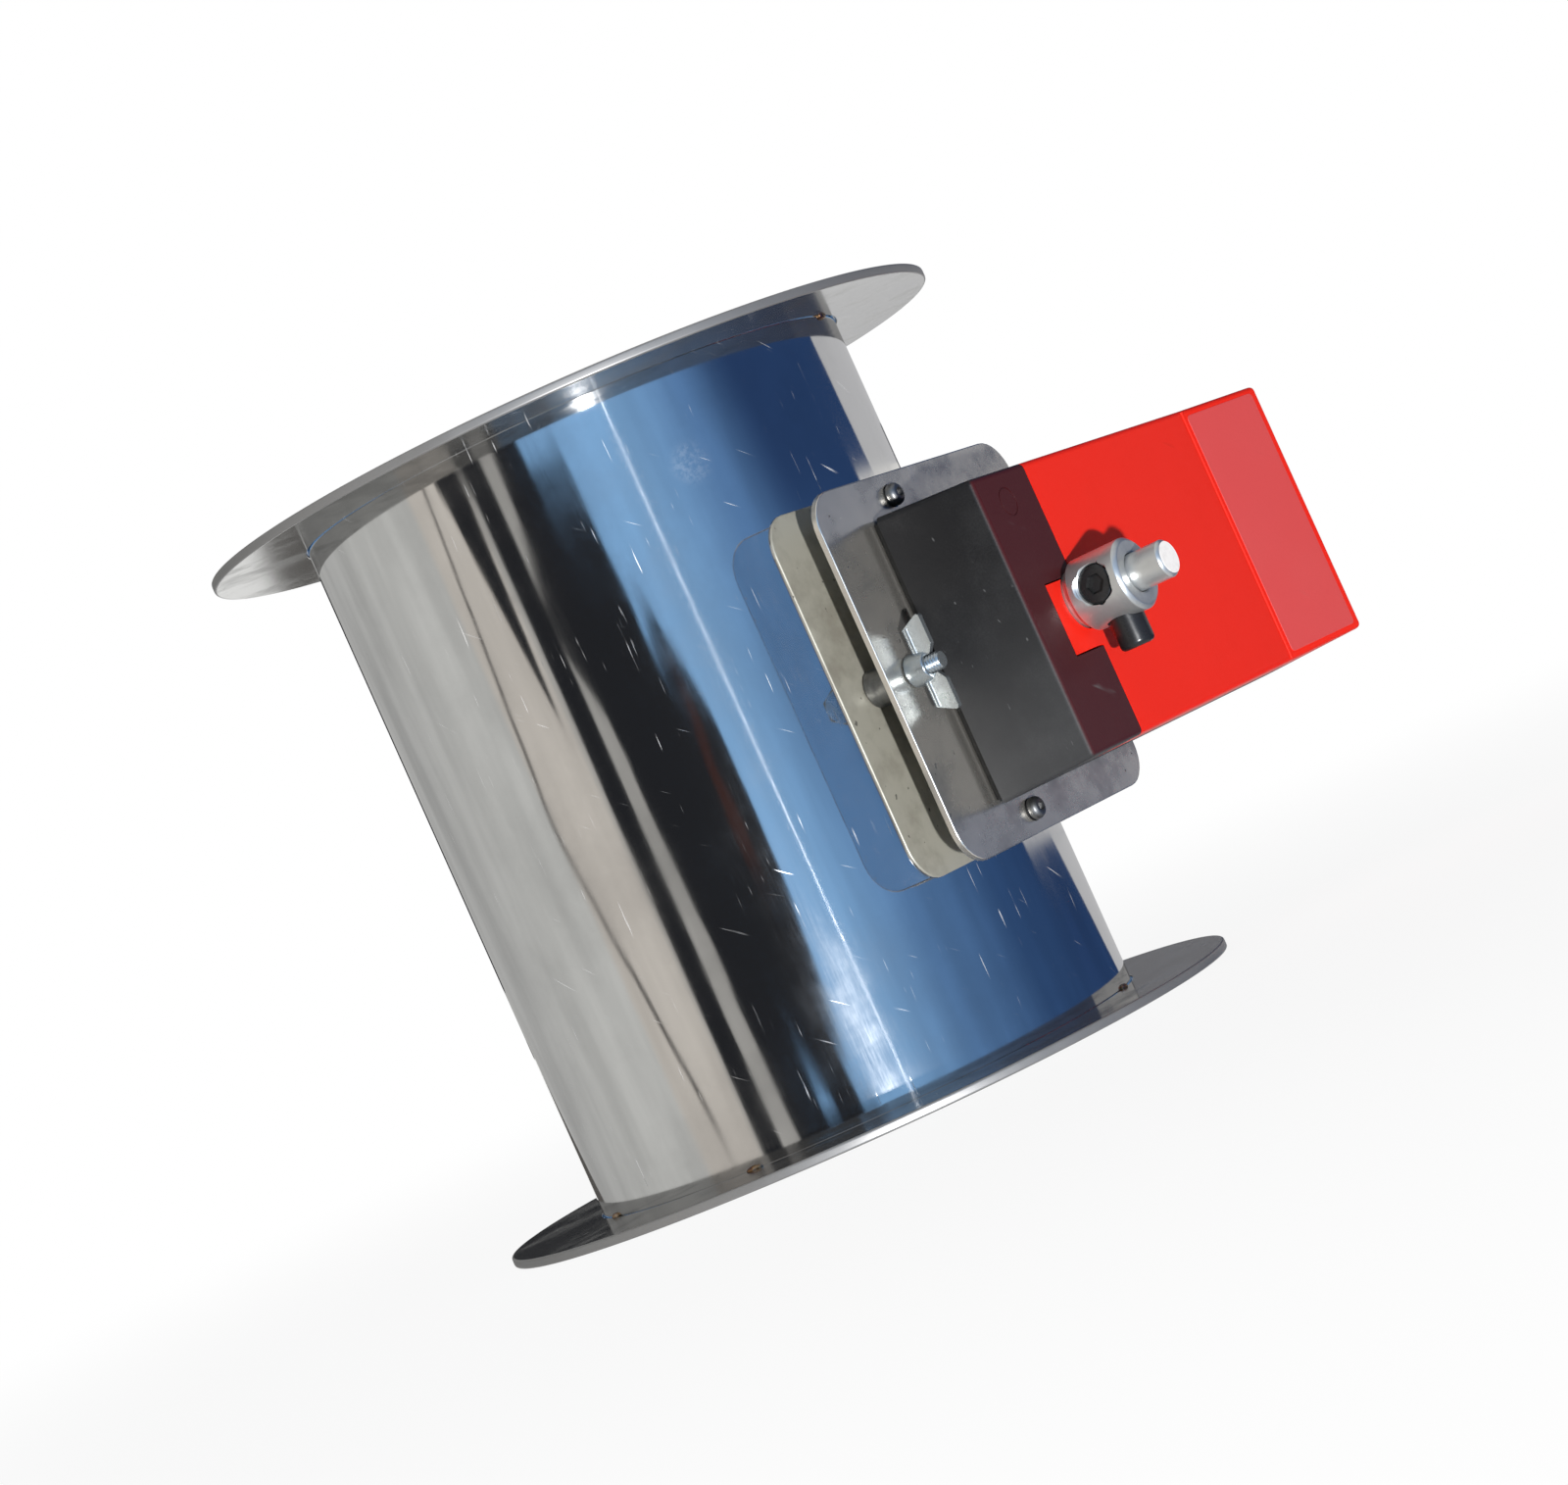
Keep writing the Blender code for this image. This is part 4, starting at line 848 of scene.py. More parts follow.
def add(name: str, mesh: bpy.types.Mesh, finish: Finish, body: str, replaces: Sequence[str] = (),
        edge: float = 0.0) -> bpy.types.Object:
    """Put a finished piece on a body of the frame.

    Args:
        name: The piece's name.
        mesh: Its mesh in scene coordinates.
        finish: Its finish.
        body: The body that it moves with.
        replaces: The nodes that it stands for.
        edge: Width of the bevel on its sharp edges.

    Returns:
        The piece.
    """
    piece = bpy.data.objects.new(name, mesh)
    bpy.context.scene.collection.objects.link(piece)
    mesh.materials.clear()
    mesh.materials.append(finish.material())
    if edge:
        bevel = piece.modifiers.new("edge", "BEVEL")
        bevel.width, bevel.segments, bevel.limit_method = edge, 2, "ANGLE"
        bevel.angle_limit = SMOOTH_ANGLE
    weighted = piece.modifiers.new("flat_faces", "WEIGHTED_NORMAL")
    weighted.keep_sharp = True
    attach(piece, body)
    if replaces:
        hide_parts(*replaces)
    LOG.info("%s on %s, %d faces", name, body, len(mesh.polygons))
    return piece


# Sub-assemblies


@dataclass
class Duct:
    """Tube with its ring flanges, seam and tack welds."""

    radius: float = 0.0625
    wall: float = 0.0010
    length: float = 0.160
    tube_edge: float = 0.0003
    flange_radius: float = 0.08425
    flange_thickness: float = 0.0020
    flange_edge: float = 0.0005
    boss_hole: float = 0.0076
    boss_cut: Point2 = (0.05, 0.07)
    segments: int = 288
    seam_angle: float = math.radians(118)
    seam_radius: float = 0.0009
    seam_depth: float = 0.00055
    seam_ripple: float = 0.00005
    seam_steps: int = 180
    tack_size: tuple[float, float, float] = (0.0008, 0.0019, 0.0008)
    tack_lift: float = 0.0002
    lower_tacks: tuple[float, ...] = (-80, 15, 72, 131, 188, 236)
    upper_tacks: tuple[float, ...] = (15, 74, 128, 168, 207)

    def build(self) -> None:
        """Build the duct."""
        centre = Matrix.Translation((AXIS.x, AXIS.y, 0))
        tube = turned(ring(self.radius - self.wall, self.radius, 0, self.length, self.tube_edge),
                      centre, self.segments)
        near, far = self.boss_cut
        cutters = [hole(self.boss_hole, on_shaft(side * near), on_shaft(side * far)) for side in (-1, 1)]
        add("tube_shell", combined(tube, cutters, "DIFFERENCE"), Finish.MIRROR_TUBE, "duct", ["duct_tube"])
        thick, top = self.flange_thickness, self.length - self.flange_thickness
        # The lower ring's darker copy of the flange steel is painted shade.
        rings = (("lower_ring", "flange_bottom", 0.0, Finish.SHADED_LOWER_FLANGE),
                 ("upper_ring", "flange_top", top, Finish.UPPER_FLANGE))
        for name, node, low, finish in rings:
            section = ring(self.radius + SEAT, self.flange_radius, low, low + thick, self.flange_edge)
            add(name, turned(section, centre, self.segments), finish, "duct", [node])
        self.build_seam()
        self.build_tacks("lower_tack_welds", self.lower_tacks, self.flange_thickness)
        self.build_tacks("upper_tack_welds", self.upper_tacks, top)

    def round_point(self, angle: float, height: float, out: float = 0.0) -> Vector:
        """Return a point on the tube's outside."""
        radius = self.radius + out
        return Vector((AXIS.x + radius * math.cos(angle), AXIS.y + radius * math.sin(angle), height))

    def build_seam(self) -> None:
        """Lay the rippled weld that closes the tube, on its far side."""
        clear = 3 * self.flange_thickness
        run = self.length - 2 * clear
        path = [self.round_point(self.seam_angle, clear + run * i / self.seam_steps,
                                 self.seam_ripple * math.sin(i * 2.1) - self.seam_depth)
                for i in range(self.seam_steps + 1)]
        add("seam_weld", sweep(path, self.seam_radius, False), Finish.WELD, "duct")

    def build_tacks(self, name: str, angles: Sequence[float], height: float) -> None:
        """Put small weld spots in the corner between the tube and a flange.

        Args:
            name: The piece's name.
            angles: Where they are, in degrees round the tube.
            height: Height of the flange's face on the tube's side.
        """
        bm = bmesh.new()
        for degrees in angles:
            angle = math.radians(degrees)
            spot = Matrix.Translation(self.round_point(angle, height, self.tack_lift))
            turn = Matrix.Rotation(angle, 4, "Z") @ Matrix.Diagonal((*self.tack_size, 1))
            bmesh.ops.create_icosphere(bm, subdivisions=3, radius=1.0, matrix=spot @ turn)
        add(name, finish_mesh(bm), Finish.WELD, "duct")


@dataclass
class Bearings:
    """Welded bosses, bronze bushes, and the washer and snap ring on the idle side."""

    start: float = 0.06107
    bush_inner: float = 0.0041
    bush_outer: float = 0.0055
    boss_outer: float = 0.0073
    drive_length: float = 0.0080
    idle_length: float = 0.0085
    bush_flange: float = 0.0012
    washer_bore: float = 0.0043
    washer_radius: float = 0.0075
    washer_thickness: float = 0.0008
    clip_inner: float = 0.0035
    clip_outer: float = 0.0062
    clip_thickness: float = 0.0008
    clip_gap: float = 0.0013
    ear_radius: float = 0.0021
    ear_hole: float = 0.0009
    ear_y: float = 0.0028
    ear_z: float = -0.0048
    tube_radius: float = 0.0625
    weld_radius: float = 0.0008
    weld_ripple: float = 0.00006
    weld_steps: int = 72

    def build(self) -> None:
        """Build both bearings."""
        self.build_side("drive", 1, self.drive_length)
        self.build_side("idle", -1, self.idle_length)
        self.build_retainer()
        self.build_weld()

    def build_side(self, name: str, side: int, length: float) -> None:
        """Build the boss and bush of one side.

        Args:
            name: drive or idle.
            side: 1 for the side of the actuator, -1 for the other.
            length: The boss's length.
        """
        place = at(side * self.start, turn=ALONG_X if side > 0 else ALONG_MINUS_X)
        inner = self.bush_outer + SEAT
        boss = turned(ring(inner, self.boss_outer, 0, length, 0.0004), place)
        add(name + "_boss_sleeve", boss, Finish.TURNED_ZINC, "duct", [name + "_boss"])
        seat = length + SEAT
        bush = soften([(self.bush_inner, 0), (self.bush_outer, 0), (self.bush_outer, seat),
                       (self.boss_outer, seat), (self.boss_outer, seat + self.bush_flange),
                       (self.bush_inner, seat + self.bush_flange)], 0.0003)
        add(name + "_bush_liner", turned(bush, place), Finish.BRONZE, "duct", [name + "_bush"])

    def build_retainer(self) -> None:
        """Build the washer and the snap ring with its two eared ends."""
        x = -(self.start + self.idle_length + self.bush_flange + 2 * SEAT)
        washer = turned(ring(self.washer_bore, self.washer_radius, 0, self.washer_thickness, 0.0002),
                        at(x, turn=ALONG_MINUS_X))
        add("idle_washer", washer, Finish.ZINC, "duct", ["shaft_washer"])
        start, thick = x - self.washer_thickness - SEAT, self.clip_thickness
        clip = turned(ring(self.clip_inner, self.clip_outer, 0, thick, 0.0001),
                      at(start, turn=ALONG_MINUS_X))
        gap = block(on_shaft(start - 0.002, -self.clip_gap, -2 * self.clip_outer),
                    on_shaft(start + 0.002, self.clip_gap, 0.0))
        clip = combined(clip, [gap], "DIFFERENCE")
        ears, holes = [], []
        clear = Vector((0.001, 0, 0))
        for side in (-1, 1):
            near, far = (on_shaft(place, side * self.ear_y, self.ear_z) for place in (start, start - thick))
            ears.append(hole(self.ear_radius, near, far, 28))
            holes.append(hole(self.ear_hole, near + clear, far - clear, 20))
        clip = combined(combined(clip, ears, "UNION"), holes, "DIFFERENCE")
        add("snap_ring", clip, Finish.SPRING_STEEL, "damper", ["shaft_snap_ring"], edge=0.0001)

    def build_weld(self) -> None:
        """Lay the weld bead where the idle boss enters the tube."""
        path = []
        for i in range(self.weld_steps):
            angle = 2 * math.pi * i / self.weld_steps
            y, z = self.boss_outer * math.cos(angle), self.boss_outer * math.sin(angle)
            ripple = Vector((self.weld_ripple * math.sin(i * 2.3), 0, 0))
            path.append(on_shaft(-math.sqrt(self.tube_radius ** 2 - y * y) - 0.0001, y, z) + ripple)
        add("idle_boss_weld", sweep(path, self.weld_radius, True), Finish.WELD, "duct")


@dataclass(frozen=True)
class PanScrew:
    """Screw with a domed head and a cross or hexagonal recess.

    Attributes:
        radius: Radius of the shank.
        shank: Length of the shank.
        head: Radius of the head.
        height: Height of the head.
        hexagon: Whether the recess is a hexagon and not a cross.
    """

    radius: float
    shank: float
    head: float
    height: float
    hexagon: bool = False

    def mesh(self, place: Matrix) -> bpy.types.Mesh:
        """Build the screw.

        Args:
            place: Where the underside of its head goes, with Z out of the head.

        Returns:
            The mesh.
        """
        dome = [(self.head, 0), (self.head, 0.42 * self.height), (0.90 * self.head, 0.70 * self.height),
                (0.66 * self.head, 0.92 * self.height), (0, self.height)]
        profile = [(0, -self.shank), (self.radius, -self.shank), (self.radius, 0)] + dome
        screw = turned(soften(profile, 0.0002, 2, closed=False), place, 40)
        floor = Matrix.Translation((0, 0, 0.45 * self.height))
        if self.hexagon:
            recess = [prism(circle(0.48 * self.head, 6), self.height, place @ floor)]
        else:
            arm, width = 0.62 * self.head, 0.13 * self.head
            bar = [(-arm, -width), (arm, -width), (arm, width), (-arm, width)]
            recess = [prism(bar, self.height, place @ floor @ Matrix.Rotation(math.radians(a), 4, "Z"))
                      for a in (20, 110)]
        return combined(screw, recess, "DIFFERENCE")


@dataclass
class Blade:
    """Shaft with its milled flat, and the disc blade screwed to it."""

    shaft_radius: float = 0.0040
    shaft_edge: float = 0.0006
    tail: float = 0.0030
    groove: float = 0.0014
    groove_depth: float = 0.0008
    flat_depth: float = 0.0009
    flat_half: float = 0.05707
    radius: float = 0.0606
    thickness: float = 0.0015
    slot_half: float = 0.0043
    beyond: Point2 = (0.07, 0.01)
    screw: PanScrew = PanScrew(radius=0.0016, shank=0.0040, head=0.0032, height=0.0020)
    screws: tuple[float, ...] = (-0.034, 0.0, 0.034)

    def build(self) -> None:
        """Build the shaft, the blade and its screws."""
        self.build_shaft()
        self.build_disc()

    def build_shaft(self) -> None:
        """Build the shaft with the snap ring's groove, the milled flat and the sawn end."""
        low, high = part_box("damper_shaft")
        start, end = low.x - AXIS.x, high.x - AXIS.x
        length, radius, edge = end - start, self.shaft_radius, self.shaft_edge
        neck, groove = radius - self.groove_depth, self.tail + self.groove
        profile = [(0, 0), (radius - edge, 0), (radius, edge), (radius, self.tail), (neck, self.tail),
                   (neck, groove), (radius, groove), (radius, length - edge), (radius - edge, length),
                   (0, length)]
        shaft = turned(soften(profile, 0.00015, 2, closed=False), at(start), 96)
        half, wide = self.flat_half, self.beyond[1]
        mill = block(on_shaft(-half, -self.flat_depth, -wide), on_shaft(half, wide, wide))
        add("cross_shaft", combined(shaft, [mill], "DIFFERENCE"), Finish.TURNED_ZINC, "damper",
            ["damper_shaft"], edge=0.0001)
        face = turned(rod(radius - edge, 0, 0.00012, 0.00005), at(end))
        add("shaft_end_face", face, Finish.SAWN_END, "damper")

    def build_disc(self) -> None:
        """Build the blade, notched at the bosses, and its screws."""
        back = SEAT - self.flat_depth
        disc = turned(rod(self.radius, 0, self.thickness, 0.0004), at(0, back, turn=ALONG_Y), 192)
        far, wide = self.beyond
        slots = []
        for side in (-1, 1):
            low, high = sorted((side * (self.flat_half - SEAT), side * far))
            slots.append(block(on_shaft(low, -wide, -self.slot_half), on_shaft(high, wide, self.slot_half)))
        add("disc_blade", combined(disc, slots, "DIFFERENCE"), Finish.ROLLED_BLADE, "damper",
            ["damper_blade"], edge=0.0001)
        for index, x in enumerate(self.screws, start=1):
            mesh = self.screw.mesh(at(x, back + self.thickness + SEAT, turn=ALONG_Y))
            add("disc_screw_%d" % index, mesh, Finish.ZINC, "damper", ["blade_screw_%d" % index])


@dataclass
class Bracket:
    """Two plates with spacers, screws, the locating stud and the wing bolt."""

    back_bore: float = 0.0076
    front_bore: float = 0.0075
    front_x: float = 0.0723
    front_thickness: float = 0.0015
    corner: float = 0.0080
    corner_steps: int = 8
    bolt: float = 0.0020
    pitch: float = 0.0007
    hexagon: float = 0.0040
    head: float = 0.0028
    overlap: float = 0.0024
    button: PanScrew = PanScrew(radius=0.0020, shank=0.0071, head=0.0024, height=0.0022, hexagon=True)
    spacer: float = 0.0040
    screw_y: float = -0.0100
    screw_z: float = 0.0350
    wing_y: float = -0.0305
    stud_y: float = 0.0330

    def supports(self) -> dict[str, Point2]:
        """Return y and z of each spacer by name."""
        return {"top": (self.screw_y, self.screw_z), "bottom": (self.screw_y, -self.screw_z),
                "wing": (self.wing_y, 0.0), "stud": (self.stud_y, 0.0)}

    def plate(self, name: str, node: str, bore: float, finish: Finish) -> None:
        """Build a plate over its node.

        Args:
            name: The piece's name.
            node: The node that it stands for.
            bore: Radius of its centre hole.
            finish: Its finish.
        """
        low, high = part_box(node)
        corner = [(low.z, low.y), (high.z, low.y), (high.z, high.y), (low.z, high.y)]
        outline = []
        for i, (z, y) in enumerate(corner):
            side_z, side_y = (1 if z > AXIS.z else -1), (1 if y > AXIS.y else -1)
            centre = (z - side_z * self.corner, y - side_y * self.corner)
            first = {(-1, -1): 180, (1, -1): 270, (1, 1): 0, (-1, 1): 90}[(side_z, side_y)]
            for step in range(self.corner_steps + 1):
                angle = math.radians(first + 90 * step / self.corner_steps)
                outline.append((centre[0] + self.corner * math.cos(angle),
                                centre[1] + self.corner * math.sin(angle)))
        # The outline's first axis is the scene's Z and its second is Y
        stand = Matrix(((0, 0, 1, low.x), (0, 1, 0, 0), (1, 0, 0, 0), (0, 0, 0, 1)))
        mesh = prism(outline, high.x - low.x, stand)
        start, end = low.x - AXIS.x - 0.001, high.x - AXIS.x + 0.001
        holes = [hole(bore, on_shaft(start), on_shaft(end))]
        for y, z in self.supports().values():
            holes.append(hole(self.bolt + SEAT, on_shaft(start, y, z), on_shaft(end, y, z), 32))
        add(name, combined(mesh, holes, "DIFFERENCE"), finish, "duct", [node], edge=0.00025)

    def hex_bolt(self, name: str, node: str, y: float) -> None:
        """Build a bolt with a chamfered hexagon head and a thread over its node.

        Args:
            name: The piece's name.
            node: The node that it stands for.
            y: Its distance from the shaft.
        """
        low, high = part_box(node)
        start, end = low.x - AXIS.x, high.x - AXIS.x
        head = prism(circle(self.hexagon, 6), self.head, at(start, y))
        crown = turned(soften([(0, 0), (0.0034, 0), (0.0042, 0.0006), (0.0042, self.head), (0, self.head)],
                              0.0001, 2, closed=False), at(start, y))
        head = combined(head, [crown], "INTERSECT")
        shank = threaded(self.bolt, self.pitch, end - start - self.overlap, at(start + self.overlap, y))
        add(name, combined(head, [shank], "UNION"), Finish.ZINC, "duct", [node])

    def build(self) -> None:
        """Build the bracket."""
        # The back plate's beige tint is partly a painted reflection of the pale ground.
        self.plate("back_plate_sheet", "bracket_back_plate", self.back_bore, Finish.DUST_AND_REFLECTION_TINT_PLATE)
        self.plate("front_plate_sheet", "bracket_front_plate", self.front_bore, Finish.BRIGHT_PLATE)
        for name, (y, z) in self.supports().items():
            low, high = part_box("spacer_" + name)
            section = ring(self.bolt + SEAT, self.spacer, 0, high.x - low.x, 0.0004)
            # The spacers take the darkened zinc, painted shade for the front plate's shadow.
            add("%s_spacer_sleeve" % name, turned(section, at(low.x - AXIS.x, y, z)),
                Finish.SHADE_DARK_ZINC, "duct", ["spacer_" + name])
        seat = self.front_x + self.front_thickness + SEAT
        for name in ("top", "bottom"):
            mesh = self.button.mesh(at(seat, *self.supports()[name]))
            add("%s_button_screw" % name, mesh, Finish.SHADE_DARK_ZINC, "duct", ["plate_screw_" + name])
        self.hex_bolt("wing_screw", "wing_bolt", self.wing_y)
        self.hex_bolt("stud_screw", "locating_stud", self.stud_y)


@dataclass
class WingNut:
    """Wing nut with two upright wings that flare outwards from a rounded lower edge."""

    y: float = -0.0305
    barrel: float = 0.0035
    barrel_top: float = 0.0029
    barrel_height: float = 0.0044
    under: float = 0.0016
    height: float = 0.0068
    root: float = 0.0084
    span: float = 0.0103
    thickness: float = 0.0013
    bead: float = 0.0009
    bore: float = 0.0021

    def wing(self, side: int, x: float) -> list[bpy.types.Mesh]:
        """Build one wing and the bead along its lower edge.

        Args:
            side: 1 for the upper wing and -1 for the lower one.
            x: Where the nut sits on its bolt.

        Returns:
            Both meshes.
        """
        h, low = self.height, self.under + 0.5 * self.bead
        outline = soften([(low, 0.0), (low, self.root), (0.93 * h, self.span), (h, self.span - 0.0005),
                          (h, self.barrel + 0.0002), (0.60 * h, 0.0)], 0.0003, 3)
        # The outline's first axis is the scene's X and its second is Z
        start = self.y - self.thickness / 2
        stand = Matrix(((1, 0, 0, x), (0, 0, 1, start), (0, side, 0, 0), (0, 0, 0, 1)))
        edge = x + self.under + self.bead
        bead = hole(self.bead, on_shaft(edge, self.y), on_shaft(edge, self.y, side * self.root), 28)
        return [prism(outline, self.thickness, Matrix.Translation(AXIS) @ stand), bead]

    def build(self) -> None:
        """Build the nut over its node."""
        low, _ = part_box("wing_nut")
        x = low.x - AXIS.x
        barrel = soften([(0, 0), (self.barrel, 0), (self.barrel, 0.0012),
                         (self.barrel_top, self.barrel_height), (0, self.barrel_height)],
                        0.0004, 3, closed=False)
        nut = combined(turned(barrel, at(x, self.y), 56), self.wing(1, x) + self.wing(-1, x), "UNION")
        bore = hole(self.bore, on_shaft(x - 0.001, self.y), on_shaft(x + 0.008, self.y))
        add("wing_nut_casting", combined(nut, [bore], "DIFFERENCE"), Finish.ZINC, "wing_nut",
            ["wing_nut"], edge=0.00022)


@dataclass
class Housing:
    """Black base and red cover of the actuator, with the blank label and the screws."""

    x: float = 0.0741
    clamp_end: float = 0.0225
    far_end: float = 0.1080
    crease: float = 0.0759
    height: float = 0.0244
    rise: float = 0.0042
    width: float = 0.0630
    draft: float = 0.0015
    edge: float = 0.0011
    wall: float = 0.0020
    split_y: float = 0.0012
    split_height: float = 0.0115
    tongue: float = 0.0115
    tongue_width: float = 0.0205
    tongue_top: float = 0.0050
    hub_hole: float = 0.0065
    stud_y: float = 0.0330
    stud_hole: float = 0.0023
    gland_z: float = -0.0140
    gland_hole: float = 0.0036
    screw: PanScrew = PanScrew(radius=0.0013, shank=0.0157, head=0.0024, height=0.0012)
    screw_z: float = 0.0255
    screws: tuple[float, ...] = (0.0090, 0.0990)
    screw_hole: float = 0.0016
    screw_sink: float = 0.0027
    post: float = 0.0030
    post_bore: float = 0.0175
    crease_bead: float = 0.0004
    mark: Point2 = (-0.0105, 0.0234)
    mark_radii: Point2 = (0.0028, 0.0031)
    gap_height: float = 0.0016
    gap_depth: float = 0.0012
    slot_count: int = 5
    slot_start: float = 0.030
    slot_pitch: float = 0.012
    slot_half: float = 0.020
    slot_depth: float = 0.0006
    label_start: float = 0.0012
    label_end: float = 0.0026
    label_side: float = 0.0016
    label_corner: float = 0.0012
    label_thickness: float = 0.0003

    def shell(self, inset: float, segments: int) -> bpy.types.Mesh:
        """Build the outer block, or its inside when inset by a wall.

        Args:
            inset: Distance from the outside.
            segments: Steps of the rounded edges.

        Returns:
            The mesh.
        """
        top, far_top = self.height - inset, self.height + self.rise - inset
        side = [(inset, inset - self.clamp_end), (top, inset - self.clamp_end + self.draft),
                (top, self.crease), (far_top, self.far_end - inset - self.draft),
                (inset, self.far_end - inset)]
        bm = bmesh.new()
        rows = []
        for sign in (-1, 1):
            half = [sign * (self.width / 2 - inset - self.draft * x / self.height) for x, _ in side]
            rows.append([bm.verts.new(on_shaft(self.x + x, y, z)) for (x, y), z in zip(side, half)])
        for i in range(len(side)):
            bm.faces.new((rows[0][i - 1], rows[0][i], rows[1][i], rows[1][i - 1]))
        bm.faces.new(rows[0])
        bm.faces.new(rows[1])
        bmesh.ops.recalc_face_normals(bm, faces=bm.faces)
        sharp = [e for e in bm.edges if e.calc_face_angle(0) > math.radians(30)]
        bmesh.ops.bevel(bm, geom=sharp, offset=self.edge, segments=segments, affect="EDGES", profile=0.5)
        return finish_mesh(bm)

    def cover_space(self, grow: float) -> bpy.types.Mesh:
        """Return the space above the split, with the tongue round the hub.

        Args:
            grow: How much larger than the cover's own space it is.

        Returns:
            The mesh.
        """
        far, wide = 0.2, 0.05
        lid = block(on_shaft(self.x + self.split_height - grow, self.split_y - grow, -wide),
                    on_shaft(self.x + wide, far, wide))
        reach = self.split_y - self.tongue - grow - SEAT
        low = on_shaft(self.x + self.height - self.wall - grow, reach, -self.tongue_width / 2 - grow)
        tongue = block(low, on_shaft(self.x + wide, wide, self.tongue_top + grow))
        return combined(lid, [tongue], "UNION")

    def screw_places(self) -> list[Point2]:
        """Return y and z of each screw."""
        return [(y, side * self.screw_z) for y in self.screws for side in (-1, 1)]

    def build(self) -> None:
        """Build the housing."""
        self.build_base()
        self.build_cover()
        self.build_label()
        for index, (y, z) in enumerate(self.screw_places(), start=1):
            mesh = self.screw.mesh(at(self.x + self.screw.height, y, z, turn=ALONG_MINUS_X))
            add("shell_screw_%d" % index, mesh, Finish.ZINC, "duct", ["cover_screw_%d" % index])

    def build_base(self) -> None:
        """Build the black base with its holes, feet ribs and the faint moulded ring."""
        floor, out = self.x + self.wall + SEAT, self.x - SEAT
        cutters = [self.shell(self.wall, 1), self.cover_space(SEAT),
                   hole(self.hub_hole, on_shaft(out), on_shaft(floor)),
                   hole(self.stud_hole, on_shaft(out, self.stud_y), on_shaft(floor, self.stud_y))]
        for y, z in self.screw_places():
            cutters += [hole(radius, on_shaft(out, y, z), on_shaft(end, y, z))
                        for radius, end in ((self.screw_hole, floor), (self.screw_sink, self.x + 0.0015))]
        gland_x = self.x + (self.wall + self.split_height) / 2
        cutters.append(hole(self.gland_hole, on_shaft(gland_x, self.far_end - 0.004, self.gland_z),
                            on_shaft(gland_x, self.far_end + 0.002, self.gland_z)))
        mark = ring(*self.mark_radii, -0.0002, 0.001, 0.00001)
        cutters.append(turned(mark, at(self.x + self.height, *self.mark)))
        cutters += self.shadow_gap() + self.foot_slots()
        base = combined(self.shell(0.0, 4), cutters, "DIFFERENCE")
        add("base_shell", base, Finish.BLACK_BASE, "duct", ["actuator_base"], edge=0.00015)

    def foot_slots(self) -> list[bpy.types.Mesh]:
        """Return the cutters of the shallow slots across the base's foot."""
        slots = []
        for index in range(self.slot_count):
            y = self.slot_start + self.slot_pitch * index
            slots.append(block(on_shaft(self.x - SEAT, y, -self.slot_half),
                               on_shaft(self.x + self.slot_depth, y + 2 * self.slot_depth, self.slot_half)))
        return slots

    def shadow_gap(self) -> list[bpy.types.Mesh]:
        """Return the cutters of the step that runs round the base's foot."""
        low, high = self.x - SEAT, self.x + self.gap_height
        half, far, wide = self.width / 2, self.far_end, 0.05
        inner = half - self.gap_depth
        return [
            block(on_shaft(low, -wide, -wide), on_shaft(high, self.gap_depth - self.clamp_end, wide)),
            block(on_shaft(low, far - self.gap_depth, -wide), on_shaft(high, far + wide, wide)),
            block(on_shaft(low, -wide, inner), on_shaft(high, far + wide, wide)),
            block(on_shaft(low, -wide, -wide), on_shaft(high, far + wide, -inner)),
        ]

    def build_cover(self) -> None:
        """Build the red cover with its four posts."""
        cover = combined(self.shell(0.0, 4), [self.cover_space(0.0)], "INTERSECT")
        start, top = self.x + self.wall + SEAT, self.x + self.height
        bore_end = self.x + self.post_bore
        posts, holes = [], [hole(self.hub_hole, on_shaft(top - 0.004), on_shaft(top + 0.0014))]
        for y, z in self.screw_places():
            posts.append(hole(self.post, on_shaft(start, y, z), on_shaft(top - self.wall / 2, y, z), 24))
            holes.append(hole(self.screw_hole, on_shaft(start - SEAT, y, z), on_shaft(bore_end, y, z), 24))
        cover = combined(cover, [self.shell(self.wall, 1)], "DIFFERENCE")
        half = self.width / 2 - self.draft - self.crease_bead
        bead = [on_shaft(top - self.crease_bead / 4, self.crease, z) for z in (-half, half)]
        posts.append(sweep(bead, self.crease_bead, False, 16))
        cover = combined(combined(cover, posts, "UNION"), holes, "DIFFERENCE")
        add("cover_shell", cover, Finish.RED_COVER, "duct", ["actuator_cover"], edge=0.00018)

    def build_label(self) -> None:
        """Lay the blank label on the slanted face."""
        start = self.crease + self.label_start
        end = self.far_end - self.draft - self.label_end
        slope = math.atan2(self.rise, self.far_end - self.draft - self.crease)
        half = self.width / 2 - self.draft - self.label_side
        length = (end - start) / math.cos(slope)
        corners = [(0, -half), (length, -half), (length, half), (0, half)]
        outline = soften(corners, self.label_corner, 4)
        # The outline's first axis runs up the slope and its second is Z
        run = Vector((math.sin(slope), math.cos(slope), 0))
        out = Vector((math.cos(slope), -math.sin(slope), 0))
        place = Matrix((run, Vector((0, 0, 1)), out)).transposed().to_4x4()
        lift = (start - self.crease) * math.tan(slope)
        place = Matrix.Translation(on_shaft(self.x + self.height + lift, start)) @ place
        sunk = Matrix.Translation((0, 0, -self.label_thickness / 2))
        label = prism(outline, self.label_thickness, place @ sunk)
        add("blank_label", label, Finish.RED_LABEL, "duct", edge=0.00006)


